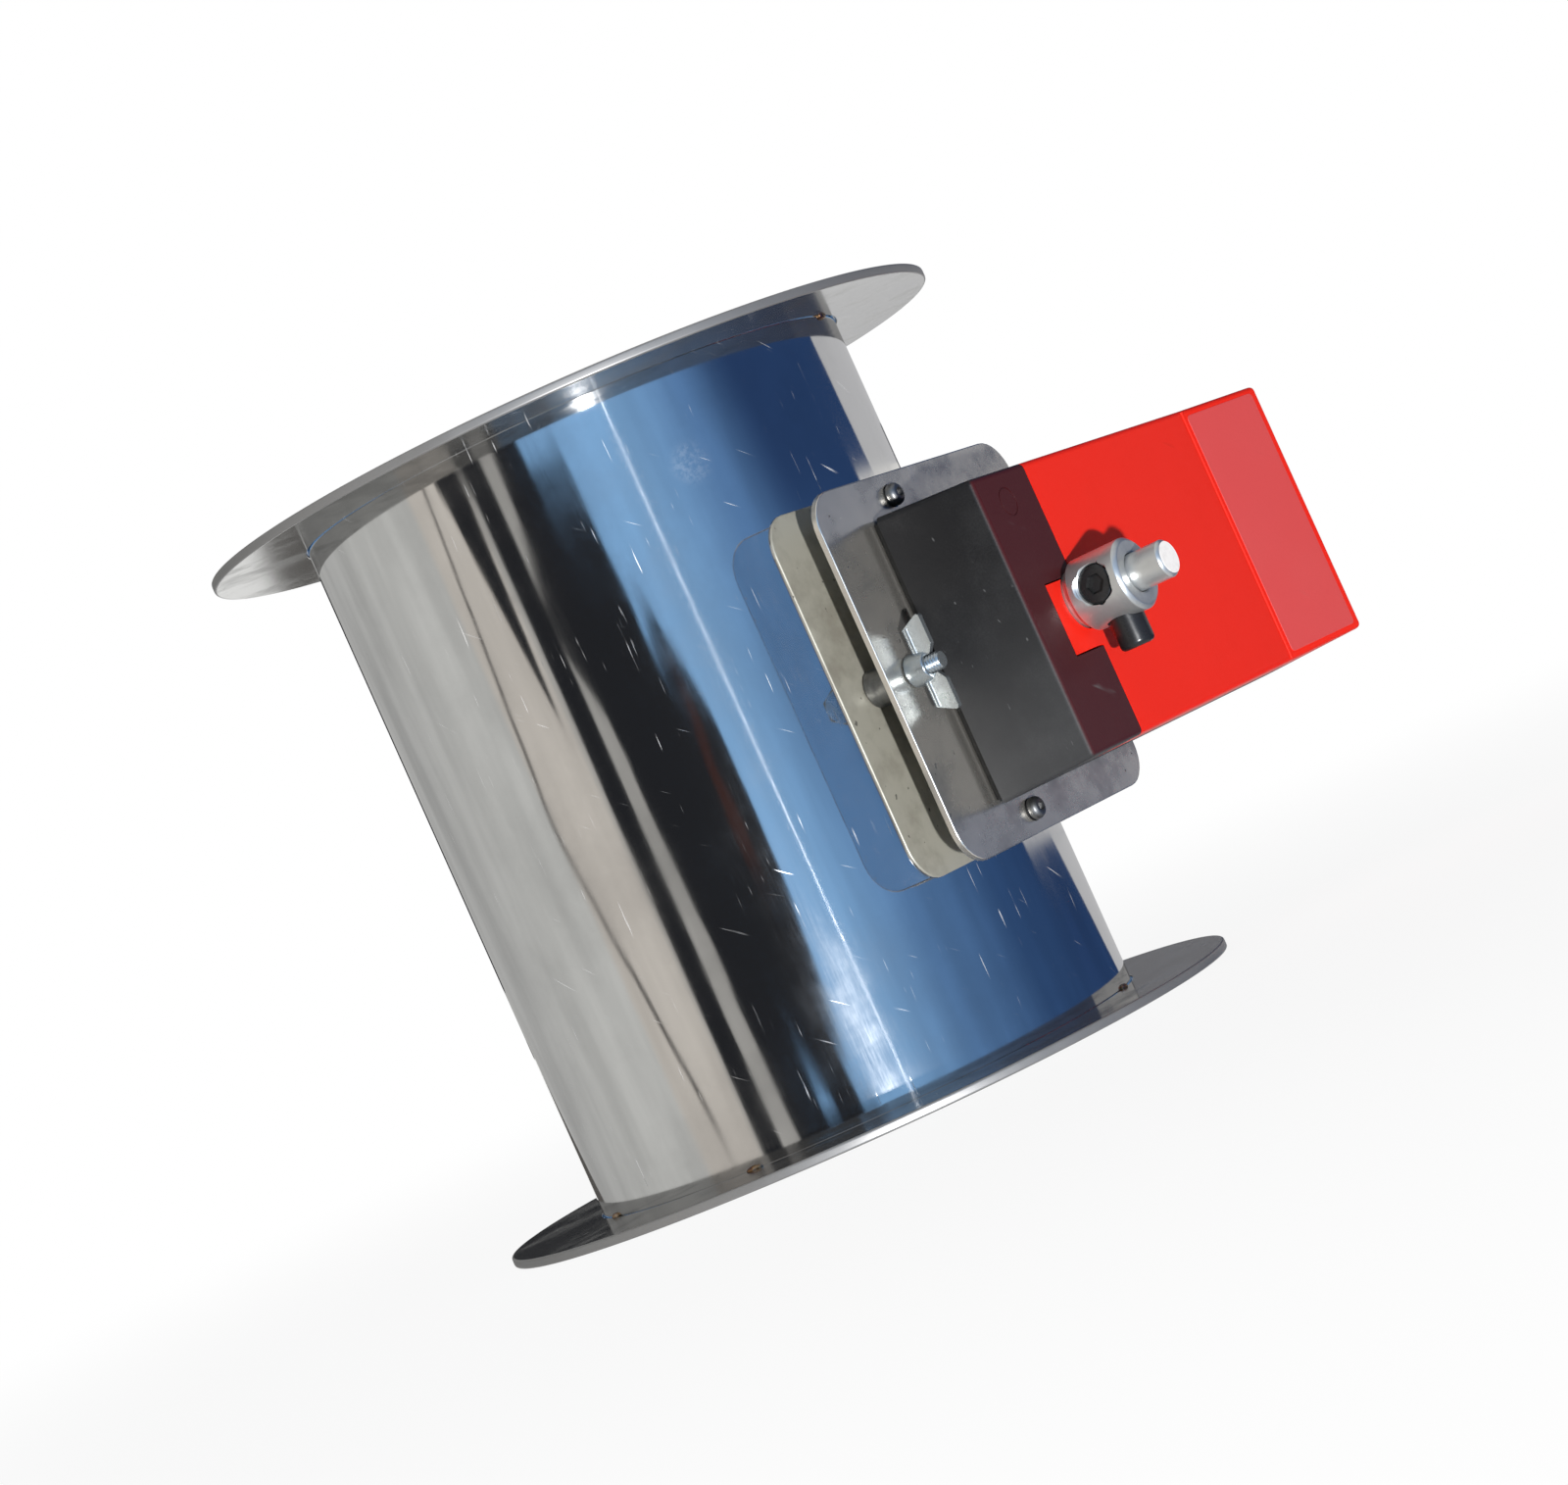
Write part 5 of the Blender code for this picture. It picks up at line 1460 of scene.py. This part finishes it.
@dataclass
class ClampHub:
    """Hub that clamps the shaft, with its two set screws."""

    neck: float = 0.0999
    reach: float = 0.0014
    bore: float = 0.0042
    sleeve: float = 0.0062
    radius: float = 0.0077
    lower_edge: float = 0.0006
    upper_edge: float = 0.0008
    bore_edge: float = 0.0003
    long_radius: float = 0.0040
    short_radius: float = 0.0044
    long_screw: float = 0.0094
    short_screw: float = 0.0022
    short_turn: float = math.radians(101)
    screw_edge: float = 0.0012
    screw_tip: float = 0.0040
    pitch: float = 0.0009
    socket_radius: float = 0.0022
    socket_depth: float = 0.0030

    def build(self) -> None:
        """Build the hub and its screws."""
        low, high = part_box("clamp_hub")
        start, end = low.x - AXIS.x, high.x - AXIS.x + self.reach
        neck, top, radius = self.neck - start, end - start, self.radius
        profile = [(self.bore, 0), (self.sleeve, 0), (self.sleeve, neck),
                   (radius - self.lower_edge, neck), (radius, neck + self.lower_edge),
                   (radius, top - self.upper_edge), (radius - self.upper_edge, top),
                   (self.bore + self.bore_edge, top), (self.bore, top - self.bore_edge)]
        hub = turned(soften(profile, 0.0002, 2), at(start), 96)
        centre = on_shaft(self.neck + (end - self.neck) / 2)
        holes = [self.build_screw("long", self.long_screw, self.long_radius, 0.0, centre),
                 self.build_screw("short", self.short_screw, self.short_radius, self.short_turn, centre)]
        add("hub_sleeve", combined(hub, holes, "DIFFERENCE"), Finish.TURNED_ZINC, "damper",
            ["clamp_hub"], edge=0.00015)

    def build_screw(self, name: str, length: float, radius: float, angle: float,
                    centre: Vector) -> bpy.types.Mesh:
        """Build a set screw with a hexagon socket.

        Args:
            name: long or short.
            length: The screw's length.
            radius: The thread's radius.
            angle: How far it is turned about the shaft from straight down.
            centre: Where its axis meets the shaft's.

        Returns:
            The cutter of its threaded hole.
        """
        out = Matrix.Rotation(-angle, 4, "X") @ Vector((0, 0, -1))
        turn = out.to_track_quat("Z", "Y").to_matrix().to_4x4()
        place = Matrix.Translation(centre + out * (self.screw_tip + SEAT)) @ turn
        screw = turned(rod(radius - SEAT, 0, length, self.screw_edge), place, 56)
        depth = min(self.socket_depth, length / 2)
        socket = prism(circle(self.socket_radius, 6), 2 * self.socket_depth,
                       place @ Matrix.Translation((0, 0, length - depth)))
        add("grub_screw_%s" % name, combined(screw, [socket], "DIFFERENCE"), Finish.BLACK_OXIDE,
            "damper", ["set_screw_" + name])
        thread = Matrix.Translation(centre) @ turn
        return threaded(radius + SEAT, self.pitch, 2 * self.radius, thread, 1.0)


@dataclass
class Works:
    """Gear train, motor and circuit board, which keep their own shapes, and the cable inlet."""

    finishes: dict[str, Finish] = field(default_factory=lambda: {
        "output_gear": Finish.BRASS, "motor_pinion": Finish.BRASS, "second_gear": Finish.NYLON,
        "first_gear": Finish.NYLON, "second_axle": Finish.TURNED_ZINC, "first_axle": Finish.TURNED_ZINC,
        "motor_shaft": Finish.TURNED_ZINC, "motor": Finish.ZINC, "circuit_board": Finish.LAMINATE})
    gland_bore: float = 0.0022
    gland_neck: float = 0.0033
    gland_lip: float = 0.0044
    gland_face: float = 0.0013
    gland_collar: float = 0.0016

    def build(self) -> None:
        """Dress the inner pieces and build the cable inlet."""
        for node, finish in self.finishes.items():
            mesh = frame["nodes"][node].data
            mesh.materials.clear()
            mesh.materials.append(finish.material())
            LOG.info("%s dressed", node)
        low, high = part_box("cable_gland")
        centre, length = (low + high) / 2, high.y - low.y
        bore, lip, neck = self.gland_bore, self.gland_lip, self.gland_neck
        collar = length - self.gland_collar
        profile = soften([(bore, 0), (lip, 0), (lip, self.gland_face), (neck, self.gland_face),
                          (neck, collar), (lip, collar), (lip, length), (bore, length)], 0.0004)
        place = Matrix.Translation((centre.x, high.y, centre.z)) @ Matrix.Rotation(math.pi / 2, 4, "X")
        add("cable_inlet", turned(profile, place), Finish.RUBBER, "duct", ["cable_gland"])


# Studio


@dataclass(frozen=True)
class Patch:
    """Something far off that metal mirrors, with four corners and ragged borders.

    Angles are in degrees to the right of the camera. Heights are in millimetres, as mirrored on
    the tube.

    Attributes:
        low: Height of its lower end.
        high: Height of its upper end.
        below: Angles of its borders at the lower end.
        above: Angles of its borders at the upper end.
        colour: Its colour.
        ragged: How far its borders wander, in degrees.
        soft: Half width of its borders, in degrees and millimetres.
    """

    low: float
    high: float
    below: Point2
    above: Point2
    colour: Colour
    ragged: float = 0.6
    soft: float = 0.4

    def mask(self, angle: Sock, height: Sock, wander: Sock) -> Sock:
        """Return where the patch is.

        Args:
            angle: The direction's angle.
            height: The direction's height.
            wander: A noise between -1 and 1.

        Returns:
            1 inside and 0 outside.
        """
        share = (height - self.low) / (self.high - self.low)
        shifted = angle + wander * self.ragged
        left = shifted - share * (self.above[0] - self.below[0]) - self.below[0]
        right = share * (self.above[1] - self.below[1]) + self.below[1] - shifted
        return math.prod((side.ramp(-self.soft, self.soft)
                          for side in (left, right, height - self.low, self.high - height)), start=1)


@dataclass(frozen=True)
class SurroundFinish:
    """What polished metal mirrors: pale ground, dark trees and a blue sky, by direction.

    Attributes:
        stops: Angle and colour of the background, from left to right.
        patches: What stands before it, from back to front.
        tube_height: Millimetres on the tube that a metre on the screen stands for.
        middle: Height on the tube of the screen's middle, in millimetres.
        twice: Colour that mirror images in a mirror image fade to.
        far: Colour of still further mirror images.
    """

    stops: tuple[tuple[float, Colour], ...]
    patches: tuple[Patch, ...]
    tube_height: float = 198.0
    middle: float = 66.9
    twice: Colour = (0.066, 0.064, 0.062)
    far: Colour = (0.20, 0.42, 0.80)

    def dress(self, shader: Shader) -> None:
        """Fill a material's graph.

        Args:
            shader: The graph to fill.
        """
        place = shader.place()
        x, y, z = shader.split(place)
        angle = x.math("ARCTAN2", y, x) * math.degrees(1.0)
        height = z * self.tube_height + self.middle
        ramp = {"stops": [(0.5 + turn / 360, colour) for turn, colour in self.stops]}
        colour = shader.node("ValToRGB", ramp, {0: angle / 360 + 0.5})
        cloud = shader.noise(shader.stretch(place, (1.0, 1.0, 2.0)), 1.6, 5.0)
        shade = shader.node("CombineColor", inputs={i: cloud.ramp(0.3, 0.7, 0.86, 1.08) for i in range(3)})
        colour = shader.node("Mix", {"data_type": "RGBA", "blend_type": "MULTIPLY"},
                             {0: 1.0, 6: colour, 7: shade}, 2)
        jagged = shader.noise(shader.stretch(place, (0.8, 0.8, 7.0)), 1.3, 8.0, 0.68)
        wander = jagged.ramp(0.25, 0.75, -1.0, 1.0)
        for patch in self.patches:
            colour = shader.mix(patch.mask(angle, height, wander), colour, patch.colour)
        depth = shader.node("LightPath", output="Ray Depth")
        colour = shader.mix(depth.ramp(1.3, 1.7) * 0.58, colour, self.twice)
        colour = shader.mix(depth.ramp(2.3, 2.7), colour, self.far)
        shader.node("OutputMaterial", inputs={"Surface": shader.node("Emission", inputs={"Color": colour})})


@dataclass(frozen=True)
class PaperFinish:
    """Pale paper floor that shows nearly white and keeps a soft shadow.

    Attributes:
        colour: The paper's colour.
        shown: Share of plain white that the camera sees beside the object.
        reach: Distance at which the paper is plain white.
    """

    colour: Colour = (0.88, 0.88, 0.88)
    shown: float = 0.90
    reach: float = 0.7

    def dress(self, shader: Shader) -> None:
        """Fill a material's graph.

        Args:
            shader: The graph to fill.
        """
        place = shader.place()
        rough = shader.noise(place, 60.0).ramp(0.3, 0.7, 0.75, 0.9)
        paper = shader.node("BsdfPrincipled",
                            inputs={"Base Color": (*self.colour, 1.0), "Roughness": rough})
        white = shader.node("Emission", inputs={"Color": (1.0, 1.0, 1.0, 1.0)})
        away = shader.node("VectorMath", {"operation": "LENGTH"}, {0: place}, "Value")
        seen = shader.node("LightPath", output="Is Camera Ray") * away.ramp(0.1, self.reach, self.shown)
        shader.node("OutputMaterial", inputs={
            "Surface": shader.node("MixShader", inputs={0: seen, 1: paper, 2: white})})


@dataclass
class Studio:
    """Floor, surroundings, lamps, world and camera."""

    camera_place: tuple[float, float, float] = (0.4559, -0.6441, 0.0636)
    lens: float = 83.32
    heading: float = math.radians(124.21)
    tilt: float = math.radians(1.123)
    roll: float = math.radians(24.2)
    floor_radius: float = 30.0
    surround_radius: float = 3.0
    fill: float = 0.08
    mirrored: float = 0.58

    def build(self) -> None:
        """Build the studio."""
        self.build_floor()
        self.build_surround()
        self.build_lamps()
        self.build_world()
        self.build_camera()

    def stage(self, name: str, mesh: bpy.types.Mesh, finish: Any) -> bpy.types.Object:
        """Add an object that isn't part of the damper.

        Args:
            name: Its name.
            mesh: Its mesh.
            finish: Its finish.

        Returns:
            The object.
        """
        item = bpy.data.objects.new(name, mesh)
        bpy.context.scene.collection.objects.link(item)
        material = bpy.data.materials.new(name)
        material.use_nodes = True
        finish.dress(Shader(material.node_tree))
        mesh.materials.append(material)
        return item

    def build_floor(self) -> None:
        """Lay the pale floor."""
        bm = bmesh.new()
        bmesh.ops.create_circle(bm, cap_ends=True, segments=96, radius=self.floor_radius)
        floor = self.stage("paper_floor", finish_mesh(bm), PaperFinish())
        floor.visible_shadow = floor.visible_glossy = False

    def build_surround(self) -> None:
        """Stand a round screen far out that only mirrors show."""
        bm = bmesh.new()
        bmesh.ops.create_cone(bm, cap_ends=False, segments=128, radius1=self.surround_radius,
                              radius2=self.surround_radius, depth=2 * self.surround_radius)
        screen = self.stage("mirror_screen", finish_mesh(bm), self.surround_finish())
        view = math.atan2(self.camera_place[1], self.camera_place[0])
        screen.location = (AXIS.x, AXIS.y, 0.08)
        screen.rotation_euler = (0, 0, view)
        screen.visible_camera = screen.visible_diffuse = screen.visible_shadow = False

    def surround_finish(self) -> SurroundFinish:
        """Return the surroundings: ground and building on the left, trees, and sky on the right."""
        pale, light, beige = (0.42, 0.42, 0.41), (0.55, 0.55, 0.53), (0.60, 0.56, 0.51)
        grey, bright, line = (0.40, 0.39, 0.37), (0.50, 0.50, 0.51), (0.09, 0.085, 0.08)
        dark, brown, sky = (0.017, 0.018, 0.021), (0.045, 0.020, 0.017), (0.24, 0.46, 0.76)
        blue, deep, navy = (0.105, 0.22, 0.43), (0.035, 0.085, 0.21), (0.022, 0.052, 0.14)
        wall, white = (0.74, 0.73, 0.71), (0.92, 0.92, 0.91)
        stops = ((-180, pale), (-140, pale), (-97, light), (-73, light), (-71, beige), (-48, beige),
                 (-46, grey), (-27, grey), (-26, sky), (16, sky), (46, blue), (86, deep), (120, navy),
                 (180, navy))
        patches = (
            Patch(112, 260, (66, 150), (44, 150), navy, 0.0, 14.0),
            Patch(38, 95, (112, 181), (112, 181), bright, 0.3),
            Patch(95, 121.5, (112, 181), (112, 181), wall, 0.3),
            Patch(121.5, 175, (125, 181), (122, 181), bright, 0.3),
            Patch(-10, 38, (152, 181), (138, 181), bright, 0.3),
            Patch(-300, -9, (150, 181), (150, 181), white, 0.0),
            Patch(-300, -9, (-181, -150), (-181, -150), white, 0.0),
            Patch(-300, -9, (-174.8, -173.2), (-174.8, -173.2), line, 0.0, 0.05),
            Patch(80, 175, (-72.8, -71.4), (-61.5, -60.5), line),
            Patch(8, 80, (-60, -58), (-72.8, -71.2), line),
            Patch(-10, 44, (-181, -143), (-181, -168), line),
            Patch(102, 152, (-50.5, -49.5), (-57, -46.5), dark),
            Patch(-10, 152, (-46.5, -38), (-44.3, -36.3), dark, 0.4),
            Patch(152, 175, (-58, -37), (-58, -36), dark),
            Patch(118, 141, (-39, -25), (-31, -25), dark),
            Patch(95, 118, (-31, -25), (-39, -25), dark),
            Patch(-2, 150, (-31, -3), (-31, -6.5), dark, 2.2),
            Patch(150, 175, (-31, -20), (-31, -22), dark, 2.5),
            Patch(92, 114, (-10, 5.5), (-1.5, 0.5), dark, 1.2),
            Patch(48, 92, (-10, 5), (-10, 6), dark, 0.8),
            Patch(16, 48, (-10, -1), (-10, 5), dark, 1.5),
            Patch(58, 96, (-5, -1), (-2, 1), brown, 2.0),
            Patch(7, 14, (-19, -12), (-16, -15), sky, 1.5),
            Patch(-10, 4, (-31, 6), (-31, 2), dark, 2.5),
            Patch(55, 150, (-181, -164), (-181, -164), dark, 0.0),
            Patch(70, 130, (164, 181), (164, 181), (0.15, 0.15, 0.16), 0.0),
            Patch(-40, 40, (-181, -173.4), (-181, -173.4), line, 0.0, 0.2),
            Patch(-40, 40, (-173.4, -165), (-173.4, -165), white, 0.0, 0.2),
        )
        return SurroundFinish(stops, patches)

    def lamp(self, name: str, place: Vector, size: Point2, power: float, shown: bool = False) -> None:
        """Add an area lamp that looks at the damper.

        Args:
            name: Its name.
            place: Its place, measured from the middle of the duct.
            size: Its width and height.
            power: Its power in watts.
            shown: Whether metal mirrors it.
        """
        data = bpy.data.lights.new(name, "AREA")
        data.shape, data.size, data.size_y, data.energy = "RECTANGLE", size[0], size[1], power
        item = bpy.data.objects.new(name, data)
        bpy.context.scene.collection.objects.link(item)
        item.location = AXIS + place
        item.rotation_mode = "QUATERNION"
        item.rotation_quaternion = (-place).to_track_quat("-Z", "Y")
        item.visible_glossy = shown

    @staticmethod
    def toward(azimuth: float, elevation: float, distance: float) -> Vector:
        """Return the place in a direction, in degrees, at a distance from the damper."""
        a, e = math.radians(azimuth), math.radians(elevation)
        return distance * Vector((math.cos(a) * math.cos(e), math.sin(a) * math.cos(e), math.sin(e)))

    def build_lamps(self) -> None:
        """Hang the key lamp low on the right, a thin strip, a soft top lamp and a rear lamp."""
        self.lamp("key_lamp", self.toward(-45, -12.5, 1.62), (0.05, 0.05), 33.0, shown=True)
        self.lamp("strip_lamp", self.toward(-39, 0, 1.5), (0.004, 1.2), 0.06, shown=True)
        self.lamp("top_lamp", self.toward(-70, 62, 1.5), (1.2, 1.2), 5.0)
        self.lamp("rear_lamp", self.toward(145, 28, 1.5), (1.0, 1.0), 9.0)

    def build_world(self) -> None:
        """Light the scene evenly, with white behind the damper."""
        world = bpy.data.worlds.new("studio_world")
        bpy.context.scene.world = world
        world.use_nodes = True
        shader = Shader(world.node_tree)
        soft, sky, white = (
            shader.node("Background", inputs={"Color": (*colour, 1.0), "Strength": strength})
            for colour, strength in (((0.95, 0.97, 1.0), self.fill), ((0.97, 0.97, 0.97), self.mirrored),
                                     ((1.0, 1.0, 1.0), 1.0)))
        glossy = shader.node("LightPath", output="Is Glossy Ray")
        camera = shader.node("LightPath", output="Is Camera Ray")
        lit = shader.node("MixShader", inputs={0: glossy, 1: soft, 2: sky})
        shader.node("OutputWorld", inputs={
            "Surface": shader.node("MixShader", inputs={0: camera, 1: lit, 2: white})})

    def build_camera(self) -> None:
        """Set up the camera at the photograph's viewing angle."""
        data = bpy.data.cameras.new("photo_camera")
        data.sensor_fit, data.sensor_width, data.lens = "HORIZONTAL", 36.0, self.lens
        data.clip_start, data.clip_end = 0.01, 100.0
        camera = bpy.data.objects.new("photo_camera", data)
        bpy.context.scene.collection.objects.link(camera)
        ahead = Vector((math.cos(self.heading) * math.cos(self.tilt),
                        math.sin(self.heading) * math.cos(self.tilt), math.sin(self.tilt)))
        right = ahead.cross(Vector((0, 0, 1))).normalized()
        up = right.cross(ahead)
        c, s = math.cos(self.roll), math.sin(self.roll)
        side, top = c * right - s * up, c * up + s * right
        pose = Matrix((side, top, -ahead)).transposed().to_4x4()
        camera.matrix_world = Matrix.Translation((AXIS.x + self.camera_place[0],
                                                  AXIS.y + self.camera_place[1],
                                                  self.camera_place[2])) @ pose
        bpy.context.scene.camera = camera


def main() -> None:
    """Build the damper and its studio."""
    logging.basicConfig(level=logging.INFO, format="%(message)s")
    bpy.context.scene.view_settings.view_transform = "Standard"
    for assembly in (Studio(), Duct(), Bearings(), Blade(), Bracket(), WingNut(), Housing(),
                     ClampHub(), Works()):
        LOG.info("building %s", type(assembly).__name__)
        assembly.build()


if __name__ == "__main__":
    main()
